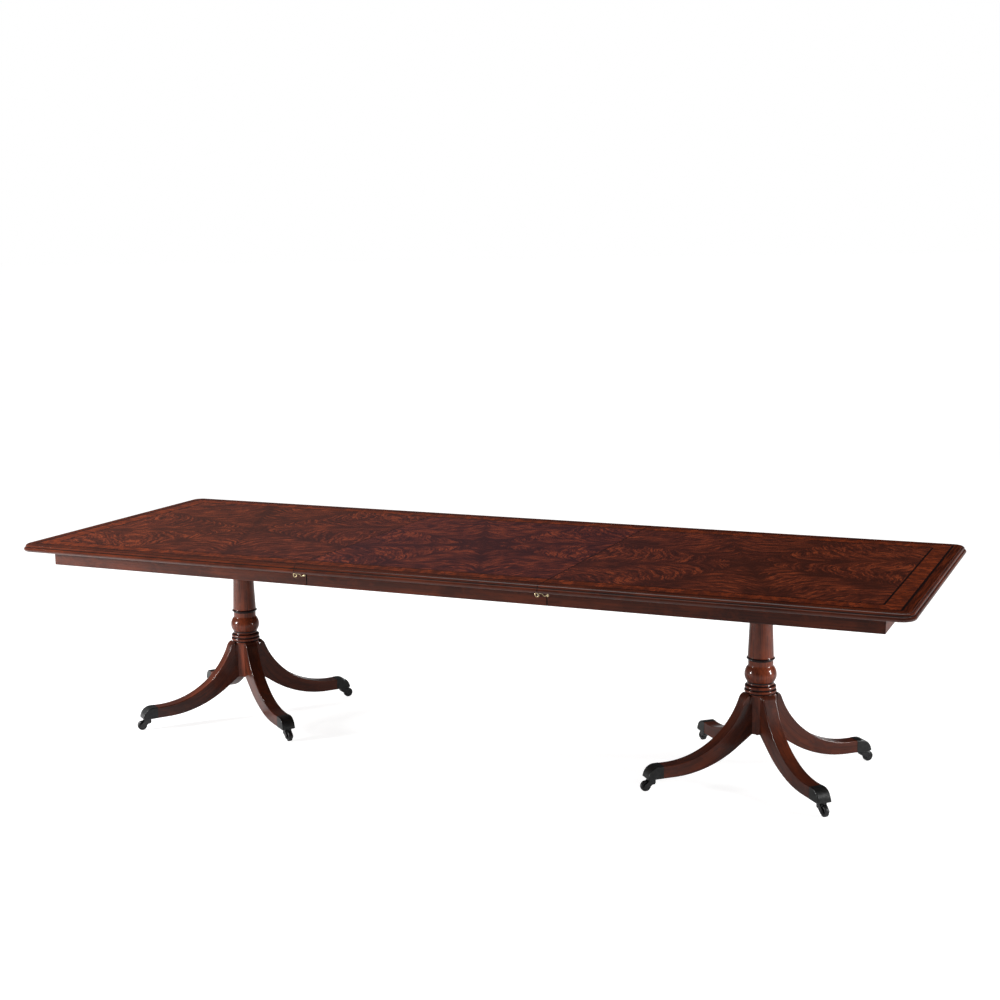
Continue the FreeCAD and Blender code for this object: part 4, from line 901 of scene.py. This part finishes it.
# Sabre leg from the side, in millimetres: distance from the pedestal's axis, and height
LEG_SEAT, LEG_SEAT_FOOT, LEG_END = 44.1, 161.4, 388
SHOULDER, THROAT, THROAT_HEIGHT = 52.8, 72, 287
THROAT_RADIUS, BACK_RADIUS = 29.135, 297.96
LEG_UNDER, ANKLE = millimetres(SOLE), millimetres(CAP_CROWN - CAP_PROUD)
KNEE, KNEE_HEIGHT, ANKLE_START = 116, 207, 360
HOLLOW, HOLLOW_HEIGHT, SOLE_START = 100.1, 121, 340
LEG_TOP = trace((LEG_SEAT, FOOT), (SHOULDER, FOOT), (SHOULDER + 0.1, FIRST_RING),
                (THROAT, THROAT_HEIGHT, THROAT_RADIUS, 1, 10), (KNEE, KNEE_HEIGHT, BACK_RADIUS, -1, 14),
                (ANKLE_START, ANKLE, swell(KNEE_HEIGHT - ANKLE, ANKLE_START - KNEE), -1, 40),
                (LEG_END, ANKLE))
LEG_FOOT = trace((LEG_SEAT, LEG_SEAT_FOOT), (HOLLOW, HOLLOW_HEIGHT),
                 (SOLE_START, LEG_UNDER, swell(HOLLOW_HEIGHT - LEG_UNDER, SOLE_START - HOLLOW), -1, 40),
                 (LEG_END, LEG_UNDER))


class TABLE_OT_legs(bpy.types.Operator):
    """Make the eight sabre legs"""

    bl_idname = "table.legs"
    bl_label = "Legs"

    def execute(self, context):
        pedestal = sizes("table_pedestal")
        x, high = spread(LEG_TOP[:, 0]), LEG_TOP[:, 1]
        low = np.interp(x, LEG_FOOT[:, 0], LEG_FOOT[:, 1])
        grid = bar(x, low, high, pedestal.leg / 2, pedestal.arris)
        middle = np.stack([x, (low + high) / 2], 1)
        run = travelled(middle)
        depth = grid[..., 2] - middle[:, 1][:, None]
        for seed, (side, name, angle, centre) in enumerate(legs()):
            grain = place_grain(run[:, None], depth, grid[..., 1], seed)
            points = turned(grid.reshape(-1, 3), angle, centre)
            piece = build(f"sabre_leg_{side}_{name}", points, closed_grid(grid), [finish_named("leg")],
                          grain=grain, sharp=38)
            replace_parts(outward(piece), f"leg_{side}_{name}")
            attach(piece, f"{side}_end")
        return {"FINISHED"}


class TABLE_OT_toe_caps(bpy.types.Operator):
    """Make the cast caps on the legs' ends"""

    bl_idname = "table.toe_caps"
    bl_label = "Toe caps"

    def execute(self, context):
        pedestal = sizes("table_pedestal")
        over = np.linspace(0, math.pi / 2, 15)
        start, bend, brow = CAP_NOSE - CAP_LENGTH, CAP_NOSE - CAP_ROUND, CAP_CROWN - CAP_ROUND
        flat = np.linspace(start, bend, 4)[:-1]
        x = spread(np.concatenate([flat, bend + CAP_ROUND * np.sin(over)]))
        high = np.concatenate([np.full(len(flat), CAP_CROWN), brow + CAP_ROUND * np.cos(over)])
        low = np.interp(x, [start, CAP_NOSE - CAP_CUT, CAP_NOSE], [SOLE, SOLE, brow])
        # a hair of height is left at the nose, where the section would be nothing
        hair = 1e-5
        grid = bar(x, low, high + hair, pedestal.leg / 2 + CAP_PROUD, CAP_ARRIS)
        for side in SIDES:
            points, faces = [], []
            for own, _, angle, centre in legs():
                if own == side:
                    before = sum(len(cap) for cap in points)
                    points.append(turned(grid.reshape(-1, 3), angle, centre))
                    faces += [[before + i for i in face] for face in closed_grid(grid)]
            piece = build(f"cast_caps_{side}", np.concatenate(points), faces, [finish_named("toe cap")],
                          sharp=38)
            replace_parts(outward(piece), f"toe_caps_{side}")
            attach(piece, f"{side}_end")
        return {"FINISHED"}


def wheel_profile(radius):
    """Wheel cut through its axis, as radius and height: hub with its bore, dished web and rounded tread."""
    bore, hub, recess, half, tread = 2.55, 6, 1.5, 8, 4
    rim, web = radius - tread, half - recess
    return trace((bore, -half), (hub, -half), (hub + recess, -web), (rim - recess, -web), (rim, -half),
                 (radius, tread - half, tread, -1, 8), (radius, half - tread), (rim, half, tread, -1, 8),
                 (rim - recess, web), (hub + recess, web), (hub, half), (bore, half))


class TABLE_OT_wheels(bpy.types.Operator):
    """Make the castor wheels"""

    bl_idname = "table.wheels"
    bl_label = "Castor wheels"

    def execute(self, context):
        radius = sizes("table_pedestal").wheel
        upright = lathe(wheel_profile(millimetres(radius)), count=64)
        # lay the wheel's axle along Y, and the wheel on the floor under the cap's nose
        grid = np.stack([upright[..., 0], -upright[..., 2], upright[..., 1]], 2)
        wheel = grid.reshape(-1, 3) + np.array([CAP_NOSE, 0, radius])
        faces = quads(*grid.shape[:2], wrap_rows=True, wrap_columns=True)
        for side, name, angle, centre in legs():
            points = turned(wheel, angle, centre)
            piece = build(f"rolling_wheel_{side}_{name}", points, faces, [finish_named("wheel")], sharp=40)
            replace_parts(outward(piece), f"castor_wheel_{side}_{name}")
            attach(piece, f"wheel_{side}_{name}")
        return {"FINISHED"}


def smoothed(name, node, material, sharp=35):
    """Copy of a CAD node with its loose triangles joined and its round faces shaded smooth."""
    source = frame["nodes"][node]
    mesh = source.data.copy()
    mesh.name = name
    piece = bpy.data.objects.new(name, mesh)
    bpy.context.scene.collection.objects.link(piece)
    mesh.transform(source.matrix_world)
    form = bmesh.new()
    form.from_mesh(mesh)
    bmesh.ops.remove_doubles(form, verts=form.verts, dist=1e-6)
    form.to_mesh(mesh)
    form.free()
    for layer in ("custom_normal", "sharp_face"):
        if layer in mesh.attributes:
            mesh.attributes.remove(mesh.attributes[layer])
    mesh.shade_smooth()
    mesh.set_sharp_from_angle(angle=math.radians(sharp))
    mesh.materials.clear()
    mesh.materials.append(material)
    return piece


class TABLE_OT_castor_forks(bpy.types.Operator):
    """Finish the castor forks and their axles"""

    bl_idname = "table.castor_forks"
    bl_label = "Castor forks"

    def execute(self, context):
        for side, name, _, _ in legs():
            node = f"castor_fork_{side}_{name}"
            piece = smoothed(f"black_fork_{side}_{name}", node, finish_named("castor"))
            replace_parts(piece, node)
            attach(piece, f"castor_{side}_{name}")
        return {"FINISHED"}


class TABLE_OT_catches(bpy.types.Operator):
    """Finish the brass catches across the seams"""

    bl_idname = "table.catches"
    bl_label = "Catches"

    def execute(self, context):
        for side in SIDES:
            for row in ROWS:
                node = f"catch_hook_{side}_{row}"
                piece = smoothed(f"brass_hook_{side}_{row}", node, finish_named("brass"), sharp=45)
                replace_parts(piece, node)
                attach(piece, f"hook_{side}_{row}")
        return {"FINISHED"}


class TABLE_OT_frame_finishes(bpy.types.Operator):
    """Give the aprons, runners, blocks and screws their materials"""

    bl_idname = "table.frame_finishes"
    bl_label = "Frame finishes"

    def execute(self, context):
        chosen = {"runner_tie": "hidden across", "middle_runners": "hidden along",
                  "glue_blocks_leaf": "hidden along", "apron_front_leaf": "rail along",
                  "apron_back_leaf": "rail along", "catch_keepers_leaf": "screw",
                  "catch_screws_right": "brass"}
        for side in SIDES:
            chosen.update({
                f"apron_front_{side}": "rail along", f"apron_back_{side}": "rail along",
                f"apron_end_{side}": "rail across", f"bearer_{side}": "hidden along",
                f"runners_{side}": "hidden along", f"glue_blocks_{side}": "hidden along",
                f"screws_{side}": "screw", f"leg_plate_{side}": "castor", f"leg_block_{side}": "block"})
        for node, material in chosen.items():
            mesh = frame["nodes"][node].data
            for index in range(len(mesh.materials)):
                mesh.materials[index] = finish_named(material)
        return {"FINISHED"}


# Studio

# Lamps: width and height, place and what they point at, in metres, and for the side lamps the share of
# their power that reaches the tops
KEY_LAMP = ((5, 3), (0.2, 1.2, 4.2), (0, 0, 0.7))
SIDE_LAMPS = {
    "left": ((0.9, 0.9), (-3.6, -1.0, 2.6), (-0.6, 0, 0.6), 1.0),
    "low": ((0.5, 0.7), (-3.4, -2.2, 1.15), (-0.5, -0.3, 0.6), 1.0),
    "right": ((0.35, 1.2), (3.9, 0.2, 1.25), (1.1, 0, 0.4), 0.5),
}

# The camera was solved from the lines of the photograph: place in metres; yaw, pitch and roll in degrees
CAMERA_PLACE = (2.385, -5.255, 1.862)
CAMERA_TURNS = (-23.76, 9.19, -0.80)
SENSOR = 36
FLOOR_REACH, FLOOR_DROP = 200, 0.0002


def looking(right, up, back, place):
    """Matrix of a lamp or camera with the given axes at a place."""
    return Matrix([(right[i], up[i], back[i], place[i]) for i in range(3)] + [(0, 0, 0, 1)])


def lamp(name, size, place, target, power, lit=None, gloss=True):
    """Rectangular light; lit is the collection of what it lights, and without gloss nothing mirrors it."""
    data = bpy.data.lights.new(name, "AREA")
    data.shape = "RECTANGLE"
    data.size, data.size_y = size
    data.energy = power
    light = bpy.data.objects.new(name, data)
    bpy.context.scene.collection.objects.link(light)
    aim = np.array(target, float) - np.array(place, float)
    aim /= np.linalg.norm(aim)
    side = np.cross(aim, [0, 0, 1.0])
    side /= np.linalg.norm(side)
    light.matrix_world = looking(side, np.cross(side, aim), -aim, place)
    light.visible_glossy = gloss
    if lit:
        light.light_linking.receiver_collection = lit


def lay_floor(studio):
    """White floor, as in a cut-out studio picture, that gives the table itself only a soft light."""
    m = Nodes(bpy.data.materials.new("pale floor"))
    ray = m.tree.nodes.new("ShaderNodeLightPath").outputs
    glow = m.add("ShaderNodeMapRange", ray["Is Camera Ray"], 0.0, 1.0, studio.bounce, studio.glow)
    pale = m.finish(Base_Color=(0.45, 0.45, 0.45), Roughness=0.9, Specular_IOR_Level=0.0,
                    Emission_Color=(1, 1, 1), Emission_Strength=glow)
    station = np.linspace(-FLOOR_REACH, FLOOR_REACH, 5)
    across, depth = np.meshgrid(station, station)
    grid = np.stack([across, depth, 0 * across - FLOOR_DROP], 2)
    build("floor", grid, quads(*grid.shape[:2]), [pale])


def hang_lamps(studio):
    """Lamp above, and side lamps that the tops do not mirror, so that no view shows their glare."""
    lamp("key", *KEY_LAMP, studio.key)
    tops, rest = [bpy.data.collections.new(name) for name in ("tops", "all but the tops")]
    for piece in bpy.context.scene.objects:
        if piece.type == "MESH":
            (tops if piece.name in TOPS else rest).objects.link(piece)
    for lit, gloss in ((rest, True), (tops, False)):
        for name, (size, place, target, share) in SIDE_LAMPS.items():
            power = getattr(studio, name) * (1.0 if gloss else share)
            lamp(name, size, place, target, power, lit, gloss)


def light_room(studio):
    """Room about the table: white to the camera, even to the table's shades, and dim in the polish.

    What the polish reflects is lit low down and towards the left. The world's own coordinates are the
    direction that is looked in.
    """
    world = bpy.data.worlds.new("studio")
    m = Nodes(world)
    ray = m.tree.nodes.new("ShaderNodeLightPath").outputs
    x, _, z = m.apart(m.add("ShaderNodeTexCoord"))
    low = m.times(m.steps(z, 0.14, 0.04), studio.sweep)
    left = m.times(m.steps(x, -0.2, -0.58), studio.haze)
    darkest = 0.006
    dim = m.plus(m.most(low, left), darkest)
    level = m.add("ShaderNodeMapRange", ray["Is Glossy Ray"], 0.0, 1.0, studio.room, dim)
    level = m.add("ShaderNodeMapRange", ray["Is Camera Ray"], 0.0, 1.0, level, 1.0)
    sky = m.add("ShaderNodeBackground", (1, 1, 1, 1), level)
    m.tree.links.new(sky, m.tree.nodes.new("ShaderNodeOutputWorld").inputs[0])
    bpy.context.scene.world = world
    bpy.context.scene.view_settings.view_transform = "Standard"


def set_camera(studio):
    """Camera where the photograph was taken from."""
    yaw, pitch, roll = np.radians(CAMERA_TURNS)
    flat = math.cos(pitch)
    ahead = np.array([math.sin(yaw) * flat, math.cos(yaw) * flat, -math.sin(pitch)])
    level = np.array([math.cos(yaw), -math.sin(yaw), 0])
    upright = np.cross(level, ahead)
    right = math.cos(roll) * level + math.sin(roll) * upright
    up = -math.sin(roll) * level + math.cos(roll) * upright
    data = bpy.data.cameras.new("camera")
    data.sensor_fit, data.sensor_width, data.lens = "HORIZONTAL", SENSOR, studio.lens
    data.clip_end = FLOOR_REACH
    camera = bpy.data.objects.new("camera", data)
    bpy.context.scene.collection.objects.link(camera)
    camera.matrix_world = looking(right, up, -ahead, CAMERA_PLACE)
    bpy.context.scene.camera = camera


class TABLE_OT_stage(bpy.types.Operator):
    """Set the floor, the lights and the camera"""

    bl_idname = "table.stage"
    bl_label = "Stage"

    def execute(self, context):
        studio = sizes("table_studio")
        lay_floor(studio)
        hang_lamps(studio)
        light_room(studio)
        set_camera(studio)
        return {"FINISHED"}


STEPS = ("finishes", "end_tops", "leaf", "columns", "legs", "toe_caps", "wheels", "castor_forks", "catches",
         "frame_finishes", "stage")


class TABLE_PT_panel(bpy.types.Panel):
    """Sizes, colours and steps of the table"""

    bl_idname = "TABLE_PT_panel"
    bl_label = "Extending dining table"
    bl_space_type = "VIEW_3D"
    bl_region_type = "UI"
    bl_category = "Table"

    def draw(self, context):
        for group in GROUPS:
            owner = getattr(context.scene, group)
            for name in owner.bl_rna.properties.keys():
                if name not in {"rna_type", "name"}:
                    self.layout.prop(owner, name)
        for step in STEPS:
            self.layout.operator(f"table.{step}")


GROUPS = {"table_top": TopSizes, "table_pedestal": PedestalSizes, "table_finish": Finish,
          "table_studio": Studio}
CLASSES = (*GROUPS.values(), TABLE_OT_finishes, TABLE_OT_end_tops, TABLE_OT_leaf, TABLE_OT_columns,
           TABLE_OT_legs, TABLE_OT_toe_caps, TABLE_OT_wheels, TABLE_OT_castor_forks, TABLE_OT_catches,
           TABLE_OT_frame_finishes, TABLE_OT_stage, TABLE_PT_panel)


def register():
    for piece in CLASSES:
        bpy.utils.register_class(piece)
    for name, group in GROUPS.items():
        setattr(bpy.types.Scene, name, bpy.props.PointerProperty(type=group))


def unregister():
    for name in GROUPS:
        delattr(bpy.types.Scene, name)
    for piece in reversed(CLASSES):
        bpy.utils.unregister_class(piece)


def main():
    register()
    for step in STEPS:
        getattr(bpy.ops.table, step)()


if __name__ == "__main__":
    main()
